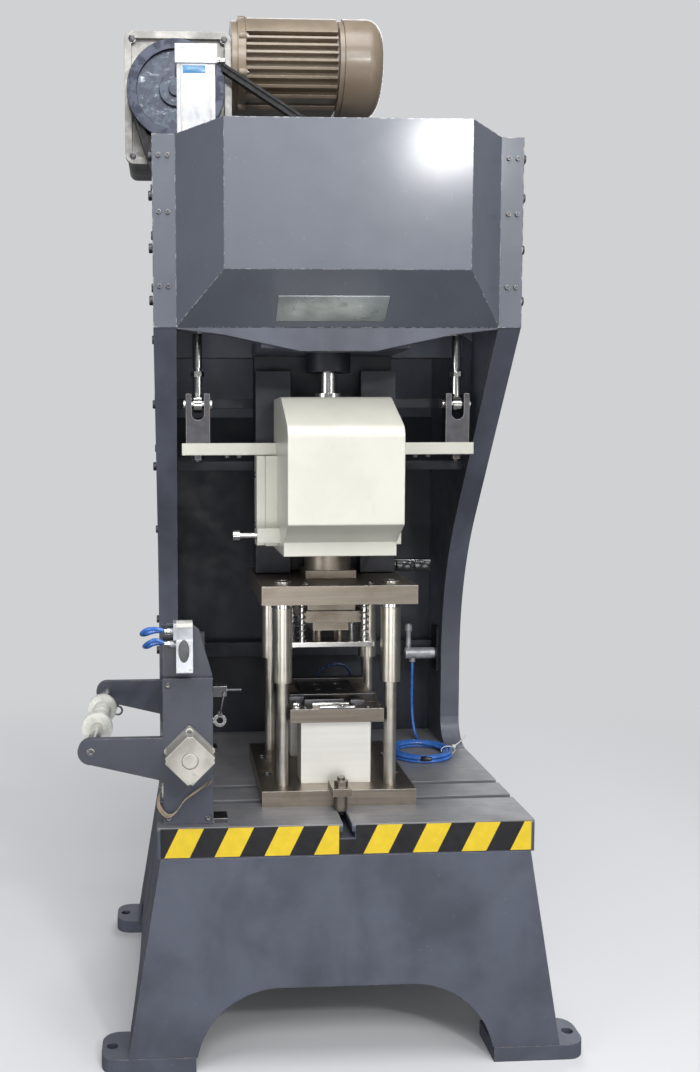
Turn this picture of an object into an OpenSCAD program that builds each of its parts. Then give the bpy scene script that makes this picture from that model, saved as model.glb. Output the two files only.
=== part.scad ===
// Small C-frame stamping press with a sprung pillar die set and a roll feeder.
// Origin: floor level under the ram axis. +X to the right seen from the front, +Y to the back, +Z up.

/* [Frame] */
// Width over both side plates
frame_w = 580; // [520:10:680]
// Thickness of a side plate
plate_t = 36; // [25:1:36]
// Height of the bed top above the floor
bed_z = 388; // [360:4:460]
// Thickness of the bed plate
bed_t = 49; // [40:1:60]
// Distance from the ram axis to the bed front
bed_front = 220; // [212:4:260]
// Distance from the ram axis to the back of the frame
frame_back = 340; // [330:5:380]
// Distance from the ram axis to the throat
throat_back = 218; // [205:1:235]
// Radius of the long curve in the throat
throat_r = 460; // [420:10:500]
// Height of the centre of that curve above the bed top
throat_up = 168; // [150:2:180]
// Fillet where a side plate meets the bed
throat_fillet = 50; // [30:5:60]
// Distance from the ram axis to the front edge of the head
head_front = 113; // [108:1:125]
// Rise of the lower front corner of the head above the guide plate's underside
head_low_up = 29; // [25:1:42]
// Rise of the side plates above the crankshaft axis
head_top_up = 104; // [100:1:144]
// Radius of the two side cut-outs of the base
side_arch_r = 105; // [80:5:120]

/* [Base] */
// Sideways flare of the base at floor level
base_flare = 56; // [30:2:80]
// Thickness of the base plates
base_t = 14; // [8:1:20]
// Height of the front arch of the base
arch_r = 131; // [100:1:150]
// Half width of the front arch at the floor
arch_half_w = 233; // [215:1:245]
// Thickness of a foot pad
pad_t = 24; // [16:1:30]
// Depth of a foot pad
pad_d = 80; // [60:5:100]
// Reach of the foot pads beyond the side plates
pad_out = 90; // [75:5:110]
// Diameter of the anchor bolt holes
anchor_d = 18; // [12:1:22]

/* [Bed slots] */
// Width of a T-slot at the top
slot_w = 14; // [12:1:18]
// Width of a T-slot at its foot
slot_foot_w = 24; // [22:1:30]
// Full depth of a T-slot
slot_depth = 22; // [18:1:26]
// Height of the wide foot of a T-slot
slot_foot_h = 10; // [8:1:12]
// Distance of the front cross slot from the ram axis
slot_y1 = 107; // [100:1:112]
// Distance of the second cross slot from the ram axis
slot_y2 = 31; // [20:1:40]

/* [Hood] */
// Step of the front panel's edge in from the inner face of a side plate
hood_in = 70; // [58:2:94]
// Distance from the ram axis to the front panel
hood_front = 205; // [195:1:215]
// Rise of the front panel's lower edge above the lower corner of the head
hood_low_up = 75; // [53:2:93]
// Thickness of the sheet
sheet_t = 2; // [1.5:0.5:3]
// Width of the folded lip at the top
hood_lip = 14; // [8:1:20]
// Diameter of the hood screws
hood_screw_d = 7; // [5:1:9]

/* [Head] */
// Thickness of the apron plate
apron_t = 25; // [16:1:30]
// Drop of the apron's middle below the guide plate's underside
apron_drop = 7; // [2:1:18]
// Half width of the flat lower edge of the apron
apron_flat = 60; // [40:2:80]
// Thickness of the bearing walls
wall_t = 25; // [20:1:30]
// Distance from the ram axis to the front bearing wall
wall_y = 95; // [90:1:100]
// Gap between the top of the ram and the guide plate
guide_up = 77; // [76:1:81]
// Thickness of the guide plate
guide_t = 22; // [16:1:26]
// Half width of the guide plate and the slide wall
guide_half_w = 120; // [110:1:135]

/* [Drive] */
// Height of the crankshaft axis above the guide plate's underside
crank_up = 218; // [212:1:227]
// Stroke of the ram
stroke = 74; // [50:1:76]
// Diameter of the main journals
journal_d = 60; // [50:1:70]
// Diameter of the crank pin
pin_d = 36; // [28:1:40]
// Diameter of the flywheel
flywheel_d = 474; // [440:2:480]
// Width of the flywheel rim
flywheel_w = 38; // [32:1:40]
// Diameter of the pulley
pulley_d = 192; // [170:2:200]
// Width of the pulley
pulley_w = 34; // [30:1:36]
// Distance of the pulley axis in from the outer face of a side plate
pulley_in = 41; // [35:1:50]
// Height of the pulley axis above the crankshaft axis
pulley_up = 323; // [314:1:334]
// Width of the belt at its back
belt_w = 22; // [17:1:24]
// Thickness of the belt
belt_t = 14; // [11:1:15]

/* [Gearbox and motor] */
// Width of the gearbox case
gear_w = 213; // [200:1:220]
// Height of the gearbox case
gear_h = 257; // [240:1:260]
// Depth of the gearbox case
gear_d = 136; // [120:1:150]
// Height of the motor axis above the pulley axis
motor_up = 78; // [70:1:80]
// Outer radius of the motor
motor_r = 96; // [85:1:98]
// Length of the motor frame
motor_len = 214; // [180:2:240]
// Length of the fan cowl
cowl_len = 81; // [60:1:100]
// Spacing of the cooling fins
fin_pitch = 15; // [12:1:18]
// Thickness of a cooling fin
fin_t = 5; // [3:0.5:7]

/* [Ram] */
// Half width of the ram
ram_half_w = 89; // [84:1:95]
// Distance from the ram axis to the front of the ram
ram_front = 195; // [180:1:200]
// Distance from the ram axis to the back of the ram
ram_back = 25; // [25:1:28]
// Daylight between the bed top and the raised ram
daylight = 402; // [396:1:440]
// Height of the ram
ram_h = 251; // [246:1:256]
// Distance from the ram axis to the lower lip of the ram
ram_lip = 138; // [125:1:150]
// Half width of the side cheeks
cheek_half_w = 122; // [112:1:126]
// Gap between the end of the cross bar and a side plate
bar_gap = 8; // [5:1:14]
// Height of the cross bar section
bar_h = 20; // [16:1:24]
// Height of the cross bar's underside above the ram's underside
bar_up = 158; // [154:1:162]
// Depth of the cross bar
bar_d = 36; // [28:1:36]
// Diameter of the ram rod
ram_rod_d = 28; // [24:1:32]

/* [Balance cylinders] */
// Width of a cylinder cap
cap_w = 68; // [60:1:69]
// Gap between a cylinder cap and a side plate
cap_gap = 1; // [0.5:0.5:3]
// Length of a cylinder
cyl_len = 216; // [200:2:240]
// Height of a cylinder cap
cap_h = 30; // [24:1:34]
// Diameter of a piston rod
rod_d = 16; // [12:1:20]
// Drop of the left cylinder's foot below the top of the side plates
cyl_left_drop = 50; // [40:5:80]
// Rise of the right cylinder's foot above the guide plate's underside
cyl_right_up = 84; // [77:1:97]

/* [Die set] */
// Half width of the die shoes
shoe_half_w = 124; // [122:1:130]
// Half depth of the die shoes
shoe_half_d = 140; // [136:1:144]
// Thickness of the lower shoe
shoe_low_t = 26; // [22:1:30]
// Thickness of the upper shoe
shoe_up_t = 30; // [24:1:32]
// Drop of the upper shoe's underside below the ram's underside
shoe_drop = 77; // [76:1:80]
// Sideways place of the guide posts
post_x = 88; // [86:1:92]
// Place of the guide posts to the front and back
post_y = 103; // [100:1:108]
// Diameter of a guide post
post_d = 20; // [18:1:24]
// Height of the post ends above the upper shoe's underside
post_over = 1; // [0:0.5:1]
// Outer diameter of a guide bush
bush_d = 32; // [30:1:36]
// Length of a guide bush
bush_len = 130; // [110:2:134]
// Drop of the riser blocks' top below the stripper plate
riser_drop = 115; // [110:1:118]
// Thickness of the die plate
die_plate_t = 22; // [18:1:26]
// Thickness of the stripper plate
stripper_t = 8; // [6:1:8]
// Drop of the stripper's underside below the upper shoe's underside
stripper_drop = 80; // [77:1:80]

/* [Feeder] */
// Distance of the feeder plates from the ram axis
feed_y = 194; // [190:1:196]
// Thickness of a feeder plate
feed_t = 12; // [10:1:14]
// Step of the feeder plates' left edge in from the bed's edge
feed_in = 10; // [6:1:14]
// Width of the feeder plates
feed_w = 76; // [72:1:80]
// Height of the feeder plates above the bed top
feed_h = 226; // [220:1:230]
// Distance of the feed roll axis from the feeder plates' left edge
roll_in = 40; // [38:1:41]
// Height of the feed roll axis above the bed top
roll_up = 115; // [110:1:120]
// Radius of the feed roll
roll_r = 32; // [26:1:34]
// Radius of the pinch roll
pinch_r = 20; // [16:1:22]
// Distance of the guide bar from the feeder plates' left edge
guide_bar_out = 109; // [100:1:120]
// Radius of the guide bar
guide_bar_r = 10; // [8:1:11]
// Radius of the spool flanges
spool_flange_r = 25; // [22:1:30]
// Half length of the spool
spool_half = 70; // [50:2:90]
// Side of the stepper motor
stepper_w = 57; // [54:1:60]
// Length of the stepper motor
stepper_len = 56; // [45:1:60]

/* [Hidden] */
fine = 96;
mid = 48;
small = 24;
fit = 0.05;
gap = 0.3;
eps = 1;
reach = frame_w;

half_w = frame_w / 2;
inner_w = half_w - plate_t;
bed_low = bed_z - bed_t;
pad_reach = half_w + pad_out;
hood_half_w = inner_w - hood_in;
balance_x = inner_w - cap_gap - cap_w / 2;
bar_half_w = inner_w - bar_gap;
pulley_x = half_w - pulley_in;
feed_x0 = half_w - feed_in;
feed_x1 = feed_x0 - feed_w;
roll_x = feed_x0 - roll_in;
guide_bar_x = feed_x0 + guide_bar_out;

ram_low_z = bed_z + daylight;
ram_top_z = ram_low_z + ram_h;
bar_z = ram_low_z + bar_up;
guide_z = ram_top_z + guide_up;
crank_z = guide_z + crank_up;
head_low_z = guide_z + head_low_up;
head_top_z = crank_z + head_top_up;
hood_low_z = head_low_z + hood_low_up;
apron_low_z = guide_z - apron_drop;
pulley_z = crank_z + pulley_up;
cyl_left_z = head_top_z - cyl_left_drop;
cyl_right_z = guide_z + cyl_right_up;
shoe_up_z = ram_low_z - shoe_drop;
shoe_top_z = shoe_up_z + shoe_up_t;
stripper_z = shoe_up_z - stripper_drop;
riser_z = stripper_z - riser_drop;
die_z = riser_z + die_plate_t;
low_shoe_z = bed_z + shoe_low_t;
feed_top_z = bed_z + feed_h;
roll_z = bed_z + roll_up;
pinch_z = roll_z + roll_r + pinch_r + 2 * gap;

stroke_half = stroke / 2;
yoke_z = crank_z + stroke_half;
bar_front = 12;
bar_y = [-bar_front, bar_d - bar_front];
fork_y = (bar_y[0] + bar_y[1]) / 2;
fork_rise = 65;
fork_pin_z = bar_z + bar_h + fork_rise;

wheel_gap = 10;
wheel_y = [frame_back + wheel_gap, frame_back + wheel_gap + flywheel_w];
belt_y = (wheel_y[0] + wheel_y[1]) / 2;
pulley_y = [belt_y - pulley_w / 2, belt_y + pulley_w / 2];
gear_gap = 4;
gear_y = [wheel_y[1] + gear_gap, wheel_y[1] + gear_gap + gear_d];
gear_shift = 5;
gear_x = [-pulley_x + gear_shift - gear_w / 2, -pulley_x + gear_shift + gear_w / 2];
gear_drop = 133;
gear_z = [pulley_z - gear_drop, pulley_z - gear_drop + gear_h];
motor_z = pulley_z + motor_up;
motor_back = 6;
motor_y = (gear_y[0] + gear_y[1]) / 2 + motor_back;
flange_t = 12;
motor_x = [gear_x[1], gear_x[1] + flange_t + motor_len];
cowl_x = [motor_x[1], motor_x[1] + cowl_len];

bearing_r = journal_d / 2 + 14;
bush_neck_r = ram_rod_d / 2 + 10;
bush_flange_r = ram_rod_d / 2 + 23;
bush_flange_t = 33;
back_wall_top = guide_z - 98;
bracket_t = 12;
shelf_z = gear_z[0];
wall_sheet = 22;
rail_d = 37;
rail_y = [ram_back + gap, ram_back + rail_d];
rail_z = [shoe_top_z + 2, guide_z - 28];
tenon_neck = 60;
tenon_head = 85;
lip_t = 16;
lever_z = bed_z + 157;
rotor_r = 45;

// Shapes shared by the sub-parts

module slab(x, y, z) {
    translate([x[0], y[0], z[0]]) cube([x[1] - x[0], y[1] - y[0], z[1] - z[0]]);
}

module rod_x(x, c, r, f = mid) {
    translate([x[0], c[0], c[1]]) rotate([0, 90, 0]) cylinder(h = x[1] - x[0], r = r, $fn = f);
}

module rod_y(y, c, r, f = mid) {
    translate([c[0], y[1], c[1]]) rotate([90, 0, 0]) cylinder(h = y[1] - y[0], r = r, $fn = f);
}

module rod_z(z, c, r, f = mid) {
    translate([c[0], c[1], z[0]]) cylinder(h = z[1] - z[0], r = r, $fn = f);
}

// A profile drawn in X and Z, spread over a range of Y
module spread_y(y) {
    translate([0, y[1], 0]) rotate([90, 0, 0]) linear_extrude(y[1] - y[0]) children();
}

// A profile drawn in Y and Z, spread over a range of X
module spread_x(x) {
    translate([x[0], 0, 0]) rotate([90, 0, 90]) linear_extrude(x[1] - x[0]) children();
}

// A profile drawn in X and Y, spread over a range of Z
module spread_z(z) {
    translate([0, 0, z[0]]) linear_extrude(z[1] - z[0]) children();
}

module both_sides() {
    children();
    mirror([1, 0, 0]) children();
}

module hex_head(z, c, across) {
    translate([c[0], c[1], z[0]]) cylinder(h = z[1] - z[0], d = across / cos(30), $fn = 6);
}

function unit(v) = v / norm(v);

// Points of a rounded corner at b between a and c
function corner(a, b, c, r, n) = r <= 0 ? [b] :
    let (
        u = unit(a - b),
        v = unit(c - b),
        half = acos(u * v) / 2,
        mid_p = b + unit(u + v) * r / sin(half),
        p = b + u * r / tan(half),
        q = b + v * r / tan(half),
        a0 = atan2(p[1] - mid_p[1], p[0] - mid_p[0]),
        a1 = atan2(q[1] - mid_p[1], q[0] - mid_p[0]),
        sweep = (a1 - a0 + 540) % 360 - 180
    )
    [for (i = [0:n]) mid_p + r * [cos(a0 + sweep * i / n), sin(a0 + sweep * i / n)]];

function rounded(pts, radii, n = 5) = [
    for (i = [0:len(pts) - 1])
        each corner(pts[(i + len(pts) - 1) % len(pts)], pts[i], pts[(i + 1) % len(pts)], radii[i], n)];

module rounded_rect(x, z, r) {
    polygon(rounded([[x[0], z[0]], [x[1], z[0]], [x[1], z[1]], [x[0], z[1]]], [r, r, r, r]));
}

// Frame

throat_c = [throat_back - throat_r, bed_z + throat_up];
head_corner = [-head_front, head_low_z];
throat_turn = atan2(head_corner[1] - throat_c[1], head_corner[0] - throat_c[0])
    - acos(throat_r / norm(head_corner - throat_c));
throat_tangent = throat_c + throat_r * [cos(throat_turn), sin(throat_turn)];

module side_plate_profile() {
    difference() {
        polygon([[frame_back, bed_z], [frame_back, head_top_z], [-head_front, head_top_z], head_corner,
            throat_tangent, [throat_back, throat_c[1]], [throat_back, bed_z]]);
        translate(throat_c) circle(throat_r, $fn = 180);
    }
    difference() {
        translate([throat_back - throat_fillet, bed_z]) square([throat_fillet, throat_fillet]);
        translate([throat_back - throat_fillet, bed_z + throat_fillet]) circle(throat_fillet, $fn = mid);
    }
    translate([throat_back, bed_z]) square([eps, throat_fillet]);
}

module side_plate() {
    spread_x([inner_w, half_w]) side_plate_profile();
}

module side_plate_left() {
    color([0.33, 0.35, 0.39]) mirror([1, 0, 0]) side_plate();
}

module side_plate_right() {
    color([0.33, 0.35, 0.39]) side_plate();
}

module t_slot_profile(at) {
    translate([at - slot_w / 2, bed_z - slot_depth]) square([slot_w, slot_depth + eps]);
    translate([at - slot_foot_w / 2, bed_z - slot_depth]) square([slot_foot_w, slot_foot_h]);
}

module bed_plate() {
    color([0.42, 0.43, 0.45]) difference() {
        slab([-half_w, half_w], [-bed_front, frame_back], [bed_low, bed_z]);
        spread_x([-reach, reach]) t_slot_profile(-slot_y1);
        spread_x([-reach, reach]) t_slot_profile(-slot_y2);
        spread_y([-bed_front - eps, -shoe_half_d + 20]) t_slot_profile(0);
    }
}

base_in = 5;

function flare(z) = half_w - base_in + base_flare * (bed_low - z) / bed_low;

module arch_profile(half, r) {
    translate([-half + r, 0]) circle(r, $fn = fine);
    translate([half - r, 0]) circle(r, $fn = fine);
    translate([-half + r, -eps]) square([2 * (half - r), r + eps]);
}

module base_end_profile() {
    difference() {
        polygon([[-flare(pad_t), pad_t], [flare(pad_t), pad_t], [flare(bed_low), bed_low],
            [-flare(bed_low), bed_low]]);
        arch_profile(arch_half_w, arch_r);
    }
}

module base_front() {
    color([0.33, 0.35, 0.39]) spread_y([-bed_front, -bed_front + base_t]) base_end_profile();
}

module base_back() {
    color([0.33, 0.35, 0.39]) spread_y([frame_back - base_t, frame_back]) base_end_profile();
}

side_arch_c = (frame_back - bed_front) / 2;
arch_land = 10;
side_arch_half = (frame_back + bed_front) / 2 - pad_d - arch_land;

module base_side() {
    difference() {
        spread_y([-bed_front + base_t, frame_back - base_t]) polygon([
            [flare(pad_t) - base_t, pad_t], [flare(pad_t), pad_t],
            [flare(bed_low), bed_low], [flare(bed_low) - base_t, bed_low]]);
        translate([0, side_arch_c, 0]) spread_x([0, reach]) arch_profile(side_arch_half, side_arch_r);
    }
}

module base_sides() {
    color([0.33, 0.35, 0.39]) both_sides() base_side();
}

pad_bolt_out = 5;
pad_corner_r = 26;
pad_x = (flare(pad_t) + pad_reach) / 2 + pad_bolt_out;
pad_ys = [-bed_front + pad_d / 2, frame_back - pad_d / 2];

module foot_pad(y) {
    difference() {
        linear_extrude(pad_t) polygon(rounded([[arch_half_w, y - pad_d / 2], [pad_reach, y - pad_d / 2],
            [pad_reach, y + pad_d / 2], [arch_half_w, y + pad_d / 2]], [0, pad_corner_r, pad_corner_r, 0]));
        rod_z([-eps, pad_t + eps], [pad_x, y], anchor_d / 2);
    }
}

module foot_pads() {
    color([0.36, 0.37, 0.38]) both_sides() for (y = pad_ys) foot_pad(y);
}

apron_side_drop = 2;
apron_knee_drop = 10;

module head_plates() {
    color([0.30, 0.32, 0.36]) {
        spread_y([-head_front, -head_front + apron_t]) polygon([
            [-inner_w, head_top_z], [-inner_w, head_low_z - apron_side_drop],
            [-hood_half_w, head_low_z - apron_knee_drop], [-apron_flat, apron_low_z],
            [apron_flat, apron_low_z], [hood_half_w, head_low_z - apron_knee_drop],
            [inner_w, head_low_z - apron_side_drop], [inner_w, head_top_z]]);
        difference() {
            slab([-inner_w, inner_w], [wall_y, wall_y + wall_t], [guide_z, head_top_z]);
            rod_y([wall_y - eps, wall_y + wall_t + eps], [0, crank_z], bearing_r);
        }
        difference() {
            slab([-inner_w, inner_w], [frame_back - wall_t, frame_back], [back_wall_top, head_top_z]);
            rod_y([frame_back - wall_t - eps, frame_back + eps], [0, crank_z], bearing_r);
        }
        difference() {
            slab([-guide_half_w, guide_half_w], [-head_front + apron_t, wall_y],
                [guide_z, guide_z + guide_t]);
            rod_z([guide_z - eps, guide_z + guide_t + eps], [0, 0], bush_neck_r);
        }
    }
}

module slide_wall() {
    color([0.14, 0.15, 0.20])
        slab([-guide_half_w, guide_half_w], [rail_y[1], rail_y[1] + wall_sheet], [rail_z[0], guide_z]);
}

module guide_rail() {
    spread_z(rail_z) polygon([
        [tenon_neck + gap, rail_y[0]], [guide_half_w, rail_y[0]], [guide_half_w, rail_y[1]],
        [tenon_head + gap, rail_y[1]], [tenon_head + gap, rail_y[0] + lip_t],
        [tenon_neck + gap, rail_y[0] + lip_t]]);
}

module guide_rails() {
    color([0.45, 0.46, 0.48]) both_sides() guide_rail();
}

tie_h = 16;
tie_drop = 28;
tie_t = 12;
tie_y = rail_y[1] + wall_sheet;
low_tie_t = 20;
low_tie_in = 68;
low_tie_up = 162;
low_tie_y = frame_back - low_tie_in;
low_tie_z = bed_z + low_tie_up;
low_tie_h = 28;

module cross_ties() {
    color([0.26, 0.27, 0.31]) {
        for (z = [fork_pin_z - tie_h / 4, bar_z - tie_drop])
            slab([-inner_w, inner_w], [tie_y, tie_y + tie_t], [z, z + tie_h]);
        slab([-inner_w, inner_w], [low_tie_y, low_tie_y + low_tie_t], [low_tie_z, low_tie_z + low_tie_h]);
    }
}

back_sheet = 6;

module back_wall() {
    color([0.12, 0.13, 0.18])
        slab([-inner_w, inner_w], [frame_back - wall_t, frame_back - wall_t + back_sheet],
            [bed_z, back_wall_top]);
}

bearing_over = 6;
bearing_flange = 12;

module main_bearing(y) {
    difference() {
        union() {
            rod_y([y, y + wall_t + bearing_over], [0, crank_z], bearing_r);
            rod_y([y + wall_t, y + wall_t + bearing_over], [0, crank_z], bearing_r + bearing_flange);
        }
        rod_y([y - eps, y + wall_t + bearing_over + eps], [0, crank_z], journal_d / 2 + fit);
    }
}

module main_bearings() {
    color([0.72, 0.55, 0.25]) {
        main_bearing(wall_y);
        translate([0, 2 * frame_back - wall_t, 0]) mirror([0, 1, 0]) main_bearing(frame_back - wall_t);
    }
}

module rod_bush() {
    color([0.20, 0.21, 0.26]) difference() {
        union() {
            rod_z([guide_z, guide_z + guide_t], [0, 0], bush_neck_r);
            rod_z([guide_z - bush_flange_t, guide_z], [0, 0], bush_flange_r);
        }
        rod_z([guide_z - bush_flange_t - eps, guide_z + guide_t + eps], [0, 0], ram_rod_d / 2 + fit);
    }
}

// Hood and guard

hood_back = -head_front;

lean_side = 1.25;
lean_rise = 1.3;
hood_over = 30;

// The hood's outside form, or its hollow when it is inset by the sheet
module hood_form(inset, over) {
    side = inset * lean_side;
    rise = inset * lean_rise;
    intersection() {
        spread_z([guide_z, head_top_z + over]) polygon([
            [-hood_half_w + side, -hood_front + inset], [hood_half_w - side, -hood_front + inset],
            [inner_w - side, hood_back - sheet_t], [inner_w - side, hood_back + over],
            [-inner_w + side, hood_back + over], [-inner_w + side, hood_back - sheet_t]]);
        spread_x([-reach, reach]) polygon([
            [-hood_front - eps, hood_low_z + rise], [-hood_front - eps, head_top_z + over],
            [hood_back + over, head_top_z + over], [hood_back + over, head_low_z + rise],
            [hood_back, head_low_z + rise], [-hood_front, hood_low_z + rise]]);
    }
}

lip_in = 6;

module hood() {
    color([0.52, 0.55, 0.58]) {
        difference() {
            hood_form(0, 0);
            hood_form(sheet_t, hood_over);
        }
        both_sides()
            slab([inner_w - eps, half_w], [hood_back - sheet_t, hood_back], [head_low_z, head_top_z]);
        slab([-hood_half_w + lip_in, hood_half_w - lip_in],
            [-hood_front + sheet_t, -hood_front + sheet_t + hood_lip], [head_top_z - sheet_t, head_top_z]);
    }
}

hood_h = head_top_z - head_low_z;
hood_screw_down = [0.11, 0.4, 0.785];
hood_screw_in = [0.28, 0.67];
hood_screw_zs = [for (k = hood_screw_down) head_top_z - k * hood_h];
hood_screw_xs = [for (k = hood_screw_in) half_w - k * plate_t];
hood_screw_h = 3;

module hood_screws() {
    color([0.10, 0.11, 0.13]) both_sides() for (z = hood_screw_zs, x = hood_screw_xs)
        rod_y([hood_back - sheet_t - hood_screw_h, hood_back - sheet_t], [x, z], hood_screw_d / 2, small);
}

guard_y = wheel_y[1] + 3;
guard_drop = 19;
guard_low_z = crank_z - flywheel_d / 2 - guard_drop;
guard_top_z = shelf_z - 26;
hub_hole_r = 48;
vent_x = 150;
vent_half_w = 40;
vent_h = 8;
vent_step = 30;
vent_low_z = guard_low_z + 40;
vents = 5;

module rear_guard() {
    through = [guard_y - eps, guard_y + sheet_t + eps];
    color([0.33, 0.35, 0.39]) difference() {
        slab([-half_w + bracket_t, half_w - bracket_t], [guard_y, guard_y + sheet_t],
            [guard_low_z, guard_top_z]);
        rod_y(through, [0, crank_z], hub_hole_r);
        for (k = [0:vents - 1], x = [-vent_x, vent_x])
            slab([x - vent_half_w, x + vent_half_w], through,
                [vent_low_z + vent_step * k, vent_low_z + vent_step * k + vent_h]);
    }
}

// Drive

shelf_y = [gear_y[0] + gear_gap, gear_y[1]];
arm_down = 216;
arm_up = 44;
arm_chin = 70;
arm_low_z = crank_z - arm_down;
arm_top_z = crank_z + arm_up;
arm_chin_z = shelf_z - arm_chin;
arm_lean = 4;

module drive_bracket() {
    color([0.33, 0.35, 0.39]) {
        both_sides() spread_x([half_w - bracket_t, half_w]) polygon([
            [frame_back, arm_low_z], [frame_back, arm_top_z], [shelf_y[0], arm_top_z],
            [shelf_y[0], shelf_z], [shelf_y[1], shelf_z],
            [shelf_y[1], arm_chin_z], [shelf_y[0] + arm_lean, arm_low_z]]);
        slab([-half_w, half_w], shelf_y, [shelf_z - bracket_t, shelf_z]);
    }
}

gear_rim = 14;
gear_face = 10;
gear_corner_r = 18;
gear_cover_r = 48;
gear_bolt_ring = 68;
gear_bolt_r = 6;
gear_bolts = 6;
hub_r = 20;
hub_len = 70;
rotor_shaft_r = 12;
rotor_into_gear = 40;
back_rib = 12;
back_rib_pitch = 27;
back_rib_in = 40;
back_rib_depth = 6;
back_rib_end = 30;

module gearbox_case() {
    inside_x = [gear_x[0] + gear_rim, gear_x[1] - gear_rim];
    inside_z = [gear_z[0] + gear_rim, gear_z[1] - gear_rim];
    color([0.68, 0.67, 0.64]) difference() {
        union() {
            spread_y([gear_y[0] + gear_face, gear_y[1]])
                rounded_rect([gear_x[0] + 4, gear_x[1]], gear_z, gear_corner_r - 2);
            spread_y([gear_y[0], gear_y[0] + gear_face]) difference() {
                rounded_rect(gear_x, gear_z, gear_corner_r);
                rounded_rect(inside_x, inside_z, gear_face);
            }
            rod_y([gear_y[0] + 2, gear_y[0] + gear_face + 2], [-pulley_x, pulley_z], gear_cover_r);
            for (k = [0:gear_bolts - 1]) {
                turn = 360 / gear_bolts * k;
                at = [-pulley_x + gear_bolt_ring * cos(turn), pulley_z + gear_bolt_ring * sin(turn)];
                rod_y([gear_y[0] + 4, gear_y[0] + gear_face + eps], at, gear_bolt_r, small);
            }
        }
        rod_y([gear_y[0] - eps, gear_y[0] + hub_len + 2], [-pulley_x, pulley_z], hub_r + fit);
        rod_x([gear_x[1] - rotor_into_gear - 2, gear_x[1] + eps], [motor_y, motor_z], rotor_shaft_r + fit);
        for (k = [0:5])
            spread_y([gear_y[1] - back_rib_depth, gear_y[1] + eps])
                translate([gear_x[0] + back_rib_in + back_rib_pitch * k, gear_z[0] + back_rib_end])
                    square([back_rib, gear_h - 2 * back_rib_end]);
    }
}

flange_in = 6;
shield_t = 16;
shield_in = 2;
rear_band_t = 10;
rear_band_in = 3;
core_in = 17;
fins_below = floor((motor_r - fin_t) / fin_pitch);
fins_above = 2;
box_x = [50, 150];
box_half_h = 42;
box_out = 24;
rotor_gap = 0.4;
rotor_end = 24;

module motor_frame() {
    core_r = motor_r - core_in;
    body_x = [motor_x[0] + flange_t, motor_x[1]];
    wide_y = [motor_y - motor_r, motor_y + motor_r];
    color([0.56, 0.50, 0.45]) difference() {
        union() {
            rod_x([motor_x[0], body_x[0]], [motor_y, motor_z], motor_r - flange_in, fine);
            rod_x([body_x[0], body_x[0] + shield_t], [motor_y, motor_z], motor_r - shield_in, fine);
            rod_x([body_x[1] - rear_band_t, body_x[1]], [motor_y, motor_z], motor_r - rear_band_in, fine);
            rod_x(body_x, [motor_y, motor_z], core_r, fine);
            intersection() {
                rod_x([body_x[0] + shield_t, body_x[1] - rear_band_t - 4], [motor_y, motor_z], motor_r, fine);
                union() {
                    for (k = [-fins_below:fins_above])
                        slab(body_x, wide_y, [motor_z + k * fin_pitch, motor_z + k * fin_pitch + fin_t]);
                    slab(body_x, wide_y, [motor_z + (fins_above + 1) * fin_pitch, motor_z + motor_r]);
                }
            }
            slab([body_x[0] + box_x[0], body_x[0] + box_x[1]],
                [motor_y + core_r - core_in, motor_y + motor_r + box_out],
                [motor_z - box_half_h, motor_z + box_half_h]);
        }
        rod_x([motor_x[0] - eps, motor_x[1] + eps], [motor_y, motor_z], rotor_shaft_r + fit);
        rod_x([body_x[0] + rotor_end, body_x[1] - rotor_end], [motor_y, motor_z], rotor_r + rotor_gap);
    }
}

cowl_sheet = 2;
cowl_corner_r = 32;
grille_rings = [28, 44];
grille_slots = 12;
grille_slot = [12, 8];

module fan_cowl() {
    inside_r = motor_r - cowl_sheet;
    inside_z = cowl_len - cowl_sheet;
    color([0.52, 0.47, 0.42]) translate([cowl_x[0], motor_y, motor_z]) rotate([0, 90, 0]) difference() {
        rotate_extrude($fn = fine) polygon(concat([[0, inside_z], [0, cowl_len]],
            corner([0, cowl_len], [motor_r, cowl_len], [motor_r, 0], cowl_corner_r, 8),
            [[motor_r, 0], [inside_r, 0]],
            corner([inside_r, 0], [inside_r, inside_z], [0, inside_z], cowl_corner_r - cowl_sheet, 8)));
        for (k = [0:grille_slots - 1], r = grille_rings)
            rotate([0, 0, 360 / grille_slots * k])
                translate([r, -grille_slot[1] / 2, inside_z - eps])
                    cube([grille_slot[0], grille_slot[1], cowl_sheet + 2 * eps]);
    }
}

rotor_in = 28;
fan_x = [cowl_x[0] + 10, cowl_x[0] + 46];
fan_hub_r = 24;
fan_blade_t = 4;
fan_blade_len = 62;
fan_blades = 6;

module motor_rotor() {
    color([0.62, 0.62, 0.64]) {
        rod_x([gear_x[1] - rotor_into_gear, fan_x[1] + 6], [motor_y, motor_z], rotor_shaft_r);
        rod_x([motor_x[0] + flange_t + rotor_in, motor_x[1] - rotor_in], [motor_y, motor_z], rotor_r, fine);
        rod_x(fan_x, [motor_y, motor_z], fan_hub_r);
        for (k = [0:fan_blades - 1])
            translate([fan_x[0] + 4, motor_y, motor_z]) rotate([360 / fan_blades * k + 15, 0, 0])
                translate([0, -fan_blade_t / 2, fan_hub_r - fan_blade_t])
                    cube([28, fan_blade_t, fan_blade_len]);
    }
}

belt_dir = [pulley_x, crank_z - pulley_z];
belt_len = norm(belt_dir);

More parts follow.
